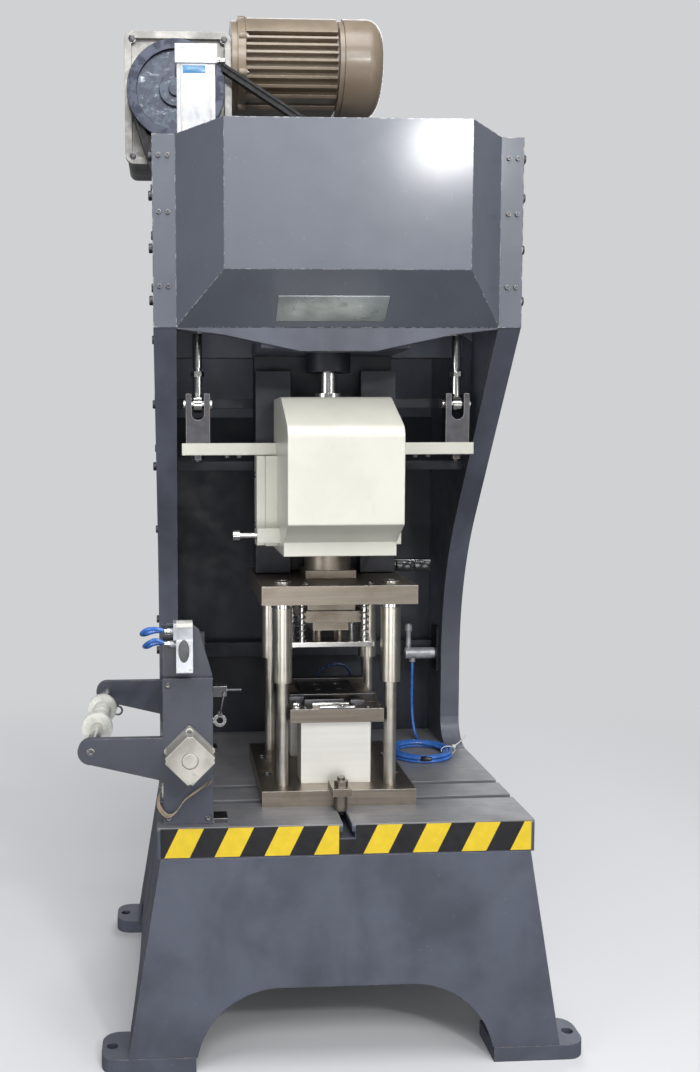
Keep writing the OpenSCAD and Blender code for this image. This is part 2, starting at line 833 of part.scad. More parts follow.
module belt_loop(r1, r2) {
    turn = asin((r2 - r1) / belt_len);
    axis = atan2(belt_dir[1], belt_dir[0]);
    up = axis + 90 + turn;
    down = axis - 90 - turn;
    p1 = [-pulley_x, pulley_z];
    p2 = [0, crank_z];
    translate(p1) circle(r1, $fn = fine);
    translate(p2) circle(r2, $fn = 180);
    polygon([p1 + r1 * [cos(up), sin(up)], p2 + r2 * [cos(up), sin(up)],
        p2 + r2 * [cos(down), sin(down)], p1 + r1 * [cos(down), sin(down)]]);
}

module belt_layer(y, low, high) {
    spread_y(y) difference() {
        belt_loop(pulley_d / 2 - high, flywheel_d / 2 - high);
        belt_loop(pulley_d / 2 - low, flywheel_d / 2 - low);
    }
}

belt_seat = 1;
belt_split = 5;
belt_step = 3;

module drive_belt() {
    back_half = belt_w / 2;
    nose_half = belt_w / 2 - belt_step;
    color([0.09, 0.09, 0.10]) {
        belt_layer([belt_y - back_half, belt_y + back_half], belt_seat + belt_split, belt_seat);
        belt_layer([belt_y - nose_half, belt_y + nose_half], belt_seat + belt_t, belt_seat + belt_split);
    }
}

// Belt groove of a wheel of radius r, in the plane of the wheel's section
module groove_section(r) {
    w0 = belt_w / 2 + gap;
    w1 = belt_w / 2 - belt_step + gap;
    d0 = belt_seat + belt_split + gap;
    d1 = belt_seat + belt_t + gap;
    polygon([[r + eps, -w0], [r + eps, w0], [r - d0, w0], [r - d0, w1], [r - d1, w1], [r - d1, -w1],
        [r - d0, -w1], [r - d0, -w0]]);
}

module wheel_blank(r, w, rim, web, hub_r, bore_r) {
    rotate_extrude($fn = fine) difference() {
        union() {
            translate([r - rim, -w / 2]) square([rim, w]);
            translate([hub_r - eps, -web / 2]) square([r - rim - hub_r + 2 * eps, web]);
            translate([bore_r, -w / 2]) square([hub_r - bore_r, w]);
        }
        groove_section(r);
    }
}

crank_neck_r = 25;
wheel_rim = 42;
wheel_web = 14;
wheel_hub_r = 52;
wheel_holes = 6;
wheel_hole_r = 42;
pulley_rim = 19;
pulley_web = 18;
pulley_hub_r = 32;
pulley_shaft_r = 14;
pulley_shaft_over = 6;

module flywheel() {
    r = flywheel_d / 2;
    color([0.40, 0.42, 0.46]) translate([0, belt_y, crank_z]) rotate([90, 0, 0]) difference() {
        wheel_blank(r, flywheel_w, wheel_rim, wheel_web, wheel_hub_r, crank_neck_r + fit);
        for (k = [0:wheel_holes - 1])
            rotate([0, 0, 360 / wheel_holes * k])
                translate([(wheel_hub_r + r - wheel_rim) / 2, 0, -wheel_web])
                cylinder(h = 2 * wheel_web, r = wheel_hole_r, $fn = mid);
    }
}

module pulley() {
    shaft_end = gear_y[0] - 2;
    color([0.38, 0.41, 0.46]) {
        translate([-pulley_x, belt_y, pulley_z]) rotate([90, 0, 0])
            wheel_blank(pulley_d / 2, pulley_w, pulley_rim, pulley_web, pulley_hub_r, pulley_shaft_r);
        rod_y([pulley_y[0] - pulley_shaft_over, shaft_end], [-pulley_x, pulley_z], pulley_shaft_r);
        rod_y([shaft_end, gear_y[0] + hub_len], [-pulley_x, pulley_z], hub_r);
    }
}

// Crank, block and yoke

web_y = [34, 60];
web_r = 58;
web_nose_r = 34;
yoke_y = 25;
block_half_w = 28;
block_half_h = 25;
yoke_per_stroke = 0.105;
yoke_clear = yoke_per_stroke * stroke + 0.6;
yoke_half_w = 85;
yoke_half_h = 60;
yoke_corner_r = 14;
pin_collar = 8;
hub_nut_r = 42;
hub_nut_t = 30;
hub_hex_r = 20;
hub_hex_t = 12;
rod_collar_t = 9;
rod_collar = 10;
rod_into_ram = 40;
rod_into_yoke = 10;
rod_neck_in = 2;

module crankshaft() {
    pin_front = -yoke_y - 1;
    hub_end = wheel_y[1] + 1;
    color([0.55, 0.56, 0.58]) {
        rod_y([pin_front - pin_collar, pin_front], [0, yoke_z], pin_d / 2 + pin_collar);
        rod_y([pin_front, web_y[0]], [0, yoke_z], pin_d / 2);
        spread_y(web_y) {
            translate([0, crank_z]) circle(web_r, $fn = fine);
            translate([0, yoke_z]) circle(web_nose_r, $fn = fine);
        }
        rod_y([web_y[1], frame_back + 8], [0, crank_z], journal_d / 2);
        rod_y([frame_back + 8, hub_end], [0, crank_z], crank_neck_r);
        rod_y([hub_end, hub_end + hub_nut_t], [0, crank_z], hub_nut_r);
        rod_y([hub_end + hub_nut_t, hub_end + hub_nut_t + hub_hex_t], [0, crank_z], hub_hex_r, 6);
    }
}

module slide_block() {
    color([0.72, 0.55, 0.25]) difference() {
        slab([-block_half_w, block_half_w], [-yoke_y, yoke_y],
            [yoke_z - block_half_h, yoke_z + block_half_h]);
        rod_y([-yoke_y - eps, yoke_y + eps], [0, yoke_z], pin_d / 2 + fit);
    }
}

module ram_yoke() {
    slot_half_w = stroke_half + block_half_w + 2;
    slot_half_h = block_half_h + yoke_clear;
    collar_top = ram_top_z + rod_collar_t;
    color([0.60, 0.61, 0.63]) {
        difference() {
            spread_y([-yoke_y, yoke_y]) rounded_rect([-yoke_half_w, yoke_half_w],
                [yoke_z - yoke_half_h, yoke_z + yoke_half_h], yoke_corner_r);
            slab([-slot_half_w, slot_half_w], [-yoke_y - eps, yoke_y + eps],
                [yoke_z - slot_half_h, yoke_z + slot_half_h]);
        }
        rod_z([ram_top_z, yoke_z - yoke_half_h + rod_into_yoke], [0, 0], ram_rod_d / 2);
        rod_z([ram_top_z, collar_top], [0, 0], ram_rod_d / 2 + rod_collar);
        rod_z([ram_top_z - rod_into_ram, collar_top], [0, 0], ram_rod_d / 2 - rod_neck_in);
    }
}

// Ram

socket_r = 25;
socket_h = 55;
screw_yz = [-70, ram_low_z + 28];
screw_r = 5;
boss_half = 12;
boss_out = 4;
chin_z = ram_low_z + 53;
brow_z = ram_top_z - 52;
brow_y = 88;
lip_h = 22;
ram_corners = [3, 22, 40, 0, 0, 0, 0];
cheek_low_z = ram_low_z + 7;
cheek_front = 20;
cheek_step = 14;
cheek_top_z = bar_z - 1;

module ram_block() {
    profile = rounded([[-ram_front, chin_z], [-ram_front, brow_z], [-brow_y, ram_top_z],
        [ram_back, ram_top_z], [ram_back, ram_low_z], [-ram_lip, ram_low_z],
        [-ram_lip, ram_low_z + lip_h]], ram_corners);
    neck_back = rail_y[0] + lip_t + gap;
    color([0.94, 0.93, 0.88]) difference() {
        union() {
            spread_x([-ram_half_w, ram_half_w]) polygon(profile);
            both_sides() {
                slab([ram_half_w, cheek_half_w], [-cheek_front, ram_back], [cheek_low_z, cheek_top_z]);
                slab([ram_half_w, cheek_half_w - cheek_step], [-cheek_front - cheek_step, -cheek_front],
                    [cheek_low_z, cheek_top_z]);
            }
            slab([-cheek_half_w - boss_out, -ram_half_w], [screw_yz[0] - boss_half, screw_yz[0] + boss_half],
                [screw_yz[1] - boss_half, screw_yz[1] + boss_half]);
            slab([-tenon_neck, tenon_neck], [ram_back, neck_back], [ram_low_z, ram_top_z]);
            slab([-tenon_head, tenon_head], [neck_back, rail_y[1] - gap], [ram_low_z, ram_top_z]);
        }
        slab([-reach, reach], bar_y, [bar_z, bar_z + bar_h]);
        rod_z([ram_low_z - eps, ram_low_z + socket_h], [0, 0], socket_r + fit);
        rod_z([ram_top_z - rod_into_ram - 5, ram_top_z + eps], [0, 0], ram_rod_d / 2 - rod_neck_in + fit);
        rod_x([-reach, -socket_r - 10], screw_yz, screw_r + fit, small);
    }
}

module ram_bar() {
    color([0.94, 0.93, 0.88]) slab([-bar_half_w, bar_half_w], bar_y, [bar_z, bar_z + bar_h]);
}

fork_half_w = 20;
fork_half_d = 14;
fork_gap = 10.5;
fork_pin_r = 6;
fork_over = 17;
fork_drop = 16;
fork_nut_h = 8;
fork_nut = 18;
pin_head_t = 4;
pin_head = 2;

module fork_profile() {
    difference() {
        translate([-fork_half_w, bar_z + bar_h]) square([2 * fork_half_w, fork_rise + fork_over]);
        translate([-fork_gap, fork_pin_z - fork_drop])
            square([2 * fork_gap, fork_drop + fork_over + eps]);
        translate([0, fork_pin_z - fork_drop]) circle(fork_gap, $fn = mid);
    }
}

module rod_forks() {
    color([0.36, 0.37, 0.40]) both_sides() translate([balance_x, 0, 0]) {
        difference() {
            spread_y([fork_y - fork_half_d, fork_y + fork_half_d]) fork_profile();
            rod_x([-fork_half_w - eps, fork_half_w + eps], [fork_y, fork_pin_z], fork_pin_r);
        }
        hex_head([bar_z - fork_nut_h, bar_z], [0, fork_y], fork_nut);
    }
}

module fork_pins() {
    ends = [balance_x - fork_half_w - pin_head_t, balance_x + fork_half_w];
    color([0.78, 0.78, 0.80]) both_sides() {
        rod_x([ends[0], ends[1] + pin_head_t], [fork_y, fork_pin_z], fork_pin_r);
        for (x = ends)
            rod_x([x, x + pin_head_t], [fork_y, fork_pin_z], fork_pin_r + pin_head, small);
    }
}

piston_t = 20;
piston_drop = 42;
cyl_wall = 9;
rod_eye_r = 14;
rod_eye_half = 7;
rod_shank_r = 8;
rod_nut = 20;
rod_nut_z = [46, 54, 60];

module balance_rod(foot_z) {
    piston_z = foot_z + cyl_len - cap_h - piston_drop;
    at = [balance_x, fork_y];
    rod_z([fork_pin_z + rod_nut_z[2], piston_z], at, rod_d / 2);
    rod_z([piston_z, piston_z + piston_t], at, cap_w / 2 - cyl_wall - gap);
    rod_z([fork_pin_z + rod_nut_z[1], fork_pin_z + rod_nut_z[2]], at, rod_d / 2 - 2);
    hex_head([fork_pin_z + rod_nut_z[0], fork_pin_z + rod_nut_z[1]], at, rod_nut);
    rod_z([fork_pin_z + rod_eye_r - 3, fork_pin_z + rod_nut_z[0]], at, rod_shank_r);
    difference() {
        rod_x([balance_x - rod_eye_half, balance_x + rod_eye_half], [fork_y, fork_pin_z], rod_eye_r);
        rod_x([balance_x - rod_eye_r, balance_x + rod_eye_r], [fork_y, fork_pin_z], fork_pin_r);
    }
}

module balance_rods() {
    color([0.80, 0.81, 0.83]) {
        mirror([1, 0, 0]) balance_rod(cyl_left_z);
        balance_rod(cyl_right_z);
    }
}

barrel_in = 3;
groove_at = 16;
groove_half = [6, 3];
bore_into_cap = 8;

module balance_cylinder(foot_z) {
    half = cap_w / 2;
    top = foot_z + cyl_len;
    x = [balance_x - half, balance_x + half];
    y = [fork_y - half, fork_y + half];
    low = foot_z + cap_h;
    high = top - cap_h;
    difference() {
        union() {
            slab(x, y, [foot_z, low]);
            slab(x, y, [high, top]);
            slab([x[0] + barrel_in, x[1] - barrel_in], [y[0] + barrel_in, y[1] - barrel_in], [low, high]);
        }
        rod_z([low - bore_into_cap, high + bore_into_cap], [balance_x, fork_y], half - cyl_wall);
        rod_z([foot_z - eps, high], [balance_x, fork_y], rod_d / 2 + fit);
        for (at_x = x, k = [-1, 1])
            slab([at_x - groove_half[0], at_x + groove_half[0]],
                [fork_y + groove_at * k - groove_half[1], fork_y + groove_at * k + groove_half[1]],
                [low + 2, high - 2]);
    }
}

module balance_cylinders() {
    color([0.86, 0.87, 0.88]) {
        mirror([1, 0, 0]) balance_cylinder(cyl_left_z);
        balance_cylinder(cyl_right_z);
    }
}

shelf_t = 12;
rib_t = 8;
rib_h = 50;

module balance_shelf(foot_z) {
    half = cap_w / 2;
    low = foot_z - shelf_t;
    difference() {
        slab([balance_x - half, inner_w], [fork_y - half, fork_y + half], [low, foot_z]);
        rod_z([low - eps, foot_z + eps], [balance_x, fork_y], rod_d / 2 + 2);
    }
    spread_y([fork_y + half - rib_t, fork_y + half]) polygon([
        [inner_w, low], [balance_x - half, low], [inner_w, low - rib_h]]);
}

module balance_shelves() {
    color([0.28, 0.30, 0.34]) {
        mirror([1, 0, 0]) balance_shelf(cyl_left_z);
        balance_shelf(cyl_right_z);
    }
}

screw_len = 32;
screw_head_t = 11;
screw_head_r = 9;

module clamp_screw() {
    head_x = -cheek_half_w - screw_len;
    color([0.80, 0.80, 0.80]) {
        rod_x([head_x, -socket_r - 12], screw_yz, screw_r, small);
        rod_x([head_x - screw_head_t, head_x], screw_yz, screw_head_r, small);
    }
}

// Die set

// A block centred on the ram axis, from its half width and half depth
module centred(half, z) {
    slab([-half[0], half[0]], [-half[1], half[1]], z);
}

module at_four(p) {
    for (x = [-p[0], p[0]], y = [-p[1], p[1]]) translate([x, y, 0]) children();
}

shank_h = 50;
shank_flange_r = 40;
shank_foot_half = 42;
shank_foot_t = 13;

module die_shank() {
    foot_z = shoe_top_z + shank_foot_t;
    color([0.66, 0.65, 0.62]) {
        rod_z([ram_low_z, ram_low_z + shank_h], [0, 0], socket_r);
        rod_z([foot_z, ram_low_z], [0, 0], shank_flange_r);
        centred([shank_foot_half, shank_foot_half], [shoe_top_z, foot_z]);
    }
}

module at_posts() {
    at_four([post_x, post_y]) children();
}

module shoe(z, hole_r) {
    difference() {
        slab([-shoe_half_w, shoe_half_w], [-shoe_half_d, shoe_half_d], z);
        at_posts() rod_z([z[0] - eps, z[1] + eps], [0, 0], hole_r);
    }
}

post_free = 2;

module upper_shoe() {
    color([0.52, 0.48, 0.43]) shoe([shoe_up_z, shoe_top_z], post_d / 2 + post_free);
}

module lower_shoe() {
    color([0.52, 0.48, 0.43]) shoe([bed_z, low_shoe_z], post_d / 2);
}

module guide_bushes() {
    color([0.74, 0.73, 0.70]) at_posts() difference() {
        rod_z([shoe_up_z - bush_len, shoe_up_z], [0, 0], bush_d / 2);
        rod_z([shoe_up_z - bush_len - eps, shoe_up_z + eps], [0, 0], post_d / 2 + fit);
    }
}

module guide_posts() {
    color([0.72, 0.72, 0.70]) at_posts() rod_z([bed_z, shoe_up_z + post_over], [0, 0], post_d / 2);
}

stripper_x = 68;
stripper_y = 72;
bolt_at = [52, 66];
bolt_r = 4;
bolt_head = 10;
pin_at = [18, 20];
pin_r = 5;
pin_fit = 0.15;
back_block = [40, 48, 23];
punch_plate = [50, 56, 19];
punch_block = [30, 40];
punch_free = 14;

module punch_holder() {
    plate_z = shoe_up_z - back_block[2] - punch_plate[2];
    punch_z = stripper_z + stripper_t + punch_free;
    color([0.58, 0.57, 0.54]) {
        centred(back_block, [shoe_up_z - back_block[2], shoe_up_z]);
        centred(punch_plate, [plate_z, shoe_up_z - back_block[2]]);
        centred(punch_block, [punch_z, plate_z]);
        at_four(pin_at) rod_z([stripper_z + 1, punch_z], [0, 0], pin_r, small);
    }
}

module stripper_plate() {
    color([0.82, 0.82, 0.80]) {
        difference() {
            centred([stripper_x, stripper_y], [stripper_z, stripper_z + stripper_t]);
            at_four(pin_at)
                rod_z([stripper_z - eps, stripper_z + stripper_t + eps], [0, 0], pin_r + gap, small);
        }
        at_four(bolt_at) rod_z([stripper_z + stripper_t, shoe_up_z - bolt_head], [0, 0], bolt_r, small);
    }
}

riser_half_w = 57;
riser_front = 101;
riser_d = 50;
die_half = [77, 115];
relief = 1;
rail_half = [72, 70];
strip_rail_w = 20;
strip_rail_h = 14;
insert_half = [46, 49];
insert_h = 10;

module die_risers() {
    color([0.83, 0.83, 0.80]) for (y = [-riser_front, riser_front - riser_d])
        slab([-riser_half_w, riser_half_w], [y, y + riser_d], [low_shoe_z, riser_z]);
}

// The plate is relieved round the four bushes, which come down past it
module die_plate() {
    color([0.55, 0.52, 0.46]) difference() {
        centred(die_half, [riser_z, die_z]);
        at_posts() rod_z([riser_z - eps, die_z + eps], [0, 0], bush_d / 2 + relief);
        at_four(pin_at) rod_z([riser_z - eps, die_z + eps], [0, 0], pin_r + relief, small);
    }
}

module strip_rails() {
    color([0.66, 0.65, 0.62]) {
        for (y = [-rail_half[1], rail_half[1] - strip_rail_w])
            slab([-rail_half[0], rail_half[0]], [y, y + strip_rail_w], [die_z, die_z + strip_rail_h]);
        difference() {
            centred(insert_half, [die_z, die_z + insert_h]);
            at_four(pin_at) rod_z([die_z - eps, die_z + insert_h + eps], [0, 0], pin_r + pin_fit, small);
        }
    }
}

clamp_y = -shoe_half_d - 16;
strap_half_w = 15.5;
heel_r = 10;
strap_t = 12;
strap_grip = 20;
nut_h = 10;
nut_across = 19;
stud_r = 6;
stud_over = 6;

module front_clamp() {
    strap_z = low_shoe_z + strap_t;
    color([0.50, 0.50, 0.50]) {
        rod_z([bed_z, low_shoe_z], [0, clamp_y], heel_r);
        slab([-strap_half_w, strap_half_w], [clamp_y - strap_half_w, strap_grip - shoe_half_d],
            [low_shoe_z, strap_z]);
        hex_head([strap_z, strap_z + nut_h], [0, clamp_y], nut_across);
        rod_z([strap_z + nut_h, strap_z + nut_h + stud_over], [0, clamp_y], stud_r, small);
    }
}

// Feeder

arm_r = 20;
arm_drop = 47;
shaft_r = 8;
bar_end_r = 6;
pivot_r = 4;
bore_depth = 7;
lever_x = feed_x1 + 12;

module feeder_profile() {
    difference() {
        union() {
            polygon([[-feed_x0, bed_z], [-feed_x1, bed_z], [-feed_x1, feed_top_z], [-feed_x0, feed_top_z]]);
            polygon([[-guide_bar_x, roll_z - arm_r], [-feed_x0 + eps, roll_z - arm_drop],
                [-feed_x0 + eps, roll_z + arm_r], [-guide_bar_x, roll_z + arm_r]]);
            translate([-guide_bar_x, roll_z]) circle(arm_r, $fn = mid);
        }
        translate([-roll_x, roll_z]) circle(shaft_r + fit, $fn = small);
        translate([-guide_bar_x, roll_z]) circle(bar_end_r, $fn = small);
    }
}

module feeder_plates() {
    color([0.33, 0.35, 0.39]) {
        difference() {
            spread_y([-feed_y - feed_t, -feed_y]) feeder_profile();
            rod_y([-feed_y - bore_depth, -feed_y + eps], [-roll_x, pinch_z], shaft_r + fit, small);
            rod_y([-feed_y - bore_depth, -feed_y + eps], [-lever_x, lever_z], pivot_r + fit, small);
        }
        difference() {
            spread_y([feed_y, feed_y + feed_t]) feeder_profile();
            rod_y([feed_y - eps, feed_y + bore_depth], [-roll_x, pinch_z], shaft_r + fit, small);
            slab([-reach, -inner_w + 1], [feed_y - eps, feed_y + feed_t + eps], [bed_z - eps, bed_z + 24]);
        }
    }
}

tie_rod_r = 7;
foot_w = 22;
foot_h = 8;
bracket_h = 16;
bracket_drop = 32;
catch_r = 2.5;

module feeder_ties() {
    foot_x = [-feed_x1, -feed_x1 + foot_w];
    catch_z = feed_top_z - bracket_drop + bracket_h / 2;
    color([0.55, 0.56, 0.58]) {
        for (c = [[-feed_x0 + 12, bed_z + 40], [-feed_x1 - 12, bed_z + 40], [-feed_x0 + 12, feed_top_z - 15]])
            rod_y([-feed_y, feed_y], c, tie_rod_r);
        slab(foot_x, [-feed_y - feed_t, 20 - feed_y], [bed_z, bed_z + foot_h]);
        slab(foot_x, [feed_y - 20, feed_y + feed_t], [bed_z, bed_z + foot_h]);
        slab([-feed_x1 - 20, -feed_x1 + foot_w], [-feed_y, 18 - feed_y],
            [feed_top_z - bracket_drop, feed_top_z - bracket_drop + bracket_h]);
        rod_x([-feed_x1 + foot_w, -feed_x1 + 2 * foot_w], [9 - feed_y, catch_z], catch_r, small);
    }
}

plate_behind = 6;
valve_rise = 80;

module valve_plate() {
    color([0.33, 0.35, 0.39]) spread_y([-feed_y, -feed_y + plate_behind]) polygon([
        [-feed_x0 + 20, feed_top_z - 10], [-feed_x1 - 22, feed_top_z - 10], [-feed_x1, feed_top_z + 1],
        [-feed_x1 - 20, feed_top_z + valve_rise - 8], [-feed_x1 - 30, feed_top_z + valve_rise],
        [-feed_x0, feed_top_z + valve_rise], [-feed_x0, feed_top_z + 1]]);
}

valve_x = [-feed_x0 + 21, -feed_x0 + 46];
valve_d = 36;
valve_front = -feed_y - valve_d;
valve_z = [feed_top_z + 13, feed_top_z + 62, feed_top_z + 87];
valve_cap_out = 4;
port_z = [feed_top_z + 54, feed_top_z + 73];
port_r = 5;
port_len = 12;

module solenoid_valve() {
    color([0.80, 0.80, 0.78]) {
        slab(valve_x, [valve_front, -feed_y], [valve_z[0], valve_z[1]]);
        slab([valve_x[0] - valve_cap_out, valve_x[1]], [valve_front + 2, -feed_y], [valve_z[1], valve_z[2]]);
        for (z = port_z)
            rod_x([valve_x[0] - port_len, valve_x[0] + eps], [valve_front + valve_d / 2, z], port_r, small);
    }
}

stepper_face_t = 6;
stepper_cap_t = 12;
stepper_corner_r = 5;
stepper_groove_r = 8;
stepper_cap_groove_r = 5;
stepper_boss_r = 11;
stepper_bore = 19;

module stepper_section(groove_r) {
    half = stepper_w / 2;
    difference() {
        rounded_rect([-half, half], [-half, half], stepper_corner_r);
        for (x = [-half, half], z = [-half, half]) translate([x, z]) circle(groove_r, $fn = small);
    }
}

module stepper_motor() {
    half = stepper_w / 2;
    cap_z = stepper_len - stepper_cap_t;
    place = [-roll_x, -feed_y - feed_t, roll_z];
    color([0.62, 0.61, 0.58]) translate(place) rotate([90, 0, 0]) rotate([0, 0, 45]) difference() {
        union() {
            linear_extrude(stepper_face_t) rounded_rect([-half, half], [-half, half], stepper_corner_r - 1);
            translate([0, 0, stepper_face_t]) linear_extrude(cap_z - stepper_face_t)
                stepper_section(stepper_groove_r);
            translate([0, 0, cap_z]) linear_extrude(stepper_cap_t) stepper_section(stepper_cap_groove_r);
            cylinder(h = stepper_len + 2, r = stepper_boss_r, $fn = mid);
        }
        translate([0, 0, -eps]) cylinder(h = stepper_bore + eps, r = shaft_r + fit, $fn = small);
    }
}

roll_side = 8;

// A roll between the feeder plates; its shaft runs into them by front and by rear
module roll(z, r, front, rear) {
    rod_y([roll_side - feed_y, feed_y - roll_side], [-roll_x, z], r, fine);
    rod_y([-feed_y - front, roll_side - feed_y], [-roll_x, z], shaft_r, small);
    rod_y([feed_y - roll_side, feed_y + rear], [-roll_x, z], shaft_r, small);
}

module feed_roll() {
    color([0.66, 0.66, 0.68]) roll(roll_z, roll_r, feed_t + 17, feed_t + 4);
}

module pinch_roll() {
    color([0.66, 0.66, 0.68]) roll(pinch_z, pinch_r, bore_depth - 1, bore_depth - 1);
}

module guide_bar() {
    color([0.80, 0.80, 0.80]) {
        rod_y([-feed_y, feed_y], [-guide_bar_x, roll_z], guide_bar_r);
        rod_y([-feed_y - feed_t - 1, -feed_y], [-guide_bar_x, roll_z], bar_end_r, small);
        rod_y([feed_y, feed_y + feed_t + 1], [-guide_bar_x, roll_z], bar_end_r, small);
    }
}

spool_wall = 5;
spool_flange_t = 11;

module guide_spool() {
    core_r = guide_bar_r + spool_wall;
    core_half = spool_half - spool_flange_t;
    color([0.90, 0.90, 0.87]) translate([-guide_bar_x, 0, roll_z]) rotate([90, 0, 0])
        rotate_extrude($fn = fine) polygon([
            [guide_bar_r + fit, -spool_half], [spool_flange_r, -spool_half], [spool_flange_r, -core_half],
            [core_r, -core_half], [core_r, core_half], [spool_flange_r, core_half],
            [spool_flange_r, spool_half], [guide_bar_r + fit, spool_half]]);
}

lever_t = 6;
lever_w = 8;
lever_reach = 23;
eye_r = 10;

module release_lever() {
    y = [gap - feed_y, gap - feed_y + lever_t];
    pivot = [-lever_x, lever_z];
    eye = pivot + [lever_reach, 0];
    color([0.75, 0.75, 0.76]) {
        spread_y(y) difference() {
            union() {
                translate(pivot) circle(lever_w, $fn = small);
                translate(pivot - [0, lever_w / 2]) square([lever_reach - eye_r / 2, lever_w]);
                translate(eye) circle(eye_r, $fn = mid);
            }
            translate(eye) circle(eye_r / 2, $fn = small);
        }
        rod_y([1 - feed_y - bore_depth, y[0]], pivot, pivot_r, small);
    }
}

// Air valve at the right side plate, with its hose

air_y = 250;
air_up = 169;
air_z = bed_z + air_up;
air_r = 11;
air_len = 58;
air_base = [6, 20, 32, 54];
stem_r = 6;
stem_drop = 17;
plug_r = 5;
plug_rise = 58;
hose_x = inner_w - 49;
hose_d = 6;
coil_c = [inner_w - 58, 135];
coil_r = 52;
coil_w = 18;
coil_h = 12;

module air_valve() {
    base_x = inner_w - air_base[0];
    color([0.72, 0.72, 0.74]) {
        slab([base_x, inner_w], [air_y - air_base[1], air_y + air_base[1]],
            [air_z - air_base[2], air_z + air_base[3]]);
        rod_x([base_x - air_len, base_x], [air_y, air_z], air_r);
        rod_z([air_z - stem_drop, air_z], [hose_x, air_y], stem_r, small);
        rod_z([air_z, air_z + plug_rise], [hose_x - 8, air_y], plug_r, small);
        rod_z([air_z + plug_rise - 14, air_z + plug_rise - 2], [hose_x - 8, air_y], plug_r + 2, small);
    }
}

hose_run = [[0, 0, 152], [0, 0, 137], [0, 1, 112], [0, 2, 82], [1, 2, 52], [3, -1, 27], [5, -7, 12],
    [7, -17, 5], [7, -29, 3.5], [2, -41, 3.5], [-9, -50.4, 3.5]];
hose_points = [for (p = hose_run) [hose_x, air_y, bed_z] + p];

function hose_dir(i) = unit(hose_points[min(i + 1, len(hose_points) - 1)] - hose_points[max(i - 1, 0)]);

// Side vector kept square to the run, always measured from +X
function hose_side(i) = let (t = hose_dir(i), s = [1, 0, 0]) unit(s - t * (s * t));

module air_hose() {
    n = 8;
    m = len(hose_points);
    turn = 360 / n;
    rings = [for (i = [0:m - 1]) let (u = hose_side(i), v = cross(hose_dir(i), u))
        each [for (k = [0:n - 1]) hose_points[i] + hose_d / 2 * (u * cos(turn * k) + v * sin(turn * k))]];
    walls = [for (i = [0:m - 2], k = [0:n - 1])
        [i * n + k, i * n + (k + 1) % n, (i + 1) * n + (k + 1) % n, (i + 1) * n + k]];
    color([0.15, 0.40, 0.75]) polyhedron(rings, concat(
        [[for (k = [0:n - 1]) n - 1 - k]], walls, [[for (k = [0:n - 1]) (m - 1) * n + k]]));
}

module hose_coil() {
    color([0.15, 0.40, 0.75]) translate([coil_c[0], coil_c[1], bed_z]) rotate_extrude($fn = mid)
        translate([coil_r - coil_w / 2, 0]) square([coil_w, coil_h]);
}

side_plate_left();
side_plate_right();
bed_plate();
base_front();
base_sides();
base_back();
foot_pads();
head_plates();
slide_wall();
guide_rails();
cross_ties();
back_wall();
main_bearings();
rod_bush();
hood();
hood_screws();
rear_guard();
drive_bracket();
gearbox_case();
motor_frame();
fan_cowl();
drive_belt();
balance_shelves();
balance_cylinders();
crankshaft();
slide_block();
flywheel();
pulley();
motor_rotor();
ram_block();
ram_bar();
rod_forks();
fork_pins();
balance_rods();
ram_yoke();
die_shank();
upper_shoe();
guide_bushes();
punch_holder();
stripper_plate();
clamp_screw();
lower_shoe();
guide_posts();
die_risers();
die_plate();
strip_rails();
front_clamp();
feeder_plates();
feeder_ties();
valve_plate();
solenoid_valve();
stepper_motor();
feed_roll();
pinch_roll();
guide_bar();
guide_spool();
release_lever();
air_valve();
air_hose();
hose_coil();
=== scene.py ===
"""Looks of a small C-frame stamping press: surfaces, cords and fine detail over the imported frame."""

import math

import bmesh
import bpy
from mathutils import Matrix, Vector


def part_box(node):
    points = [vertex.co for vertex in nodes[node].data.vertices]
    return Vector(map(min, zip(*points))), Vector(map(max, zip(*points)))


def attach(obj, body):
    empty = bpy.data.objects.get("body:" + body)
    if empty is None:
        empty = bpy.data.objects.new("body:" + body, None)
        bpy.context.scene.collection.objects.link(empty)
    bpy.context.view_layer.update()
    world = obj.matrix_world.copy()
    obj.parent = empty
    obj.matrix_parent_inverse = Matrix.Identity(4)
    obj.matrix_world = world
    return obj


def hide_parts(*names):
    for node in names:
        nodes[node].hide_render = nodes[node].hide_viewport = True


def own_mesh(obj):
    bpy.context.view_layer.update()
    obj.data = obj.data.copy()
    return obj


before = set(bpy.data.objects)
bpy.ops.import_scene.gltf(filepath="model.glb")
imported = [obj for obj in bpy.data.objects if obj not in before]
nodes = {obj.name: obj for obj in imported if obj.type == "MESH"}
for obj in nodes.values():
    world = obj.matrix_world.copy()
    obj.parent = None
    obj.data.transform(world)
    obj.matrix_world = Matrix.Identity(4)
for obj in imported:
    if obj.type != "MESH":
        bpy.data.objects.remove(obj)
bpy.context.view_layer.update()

MM = 0.001

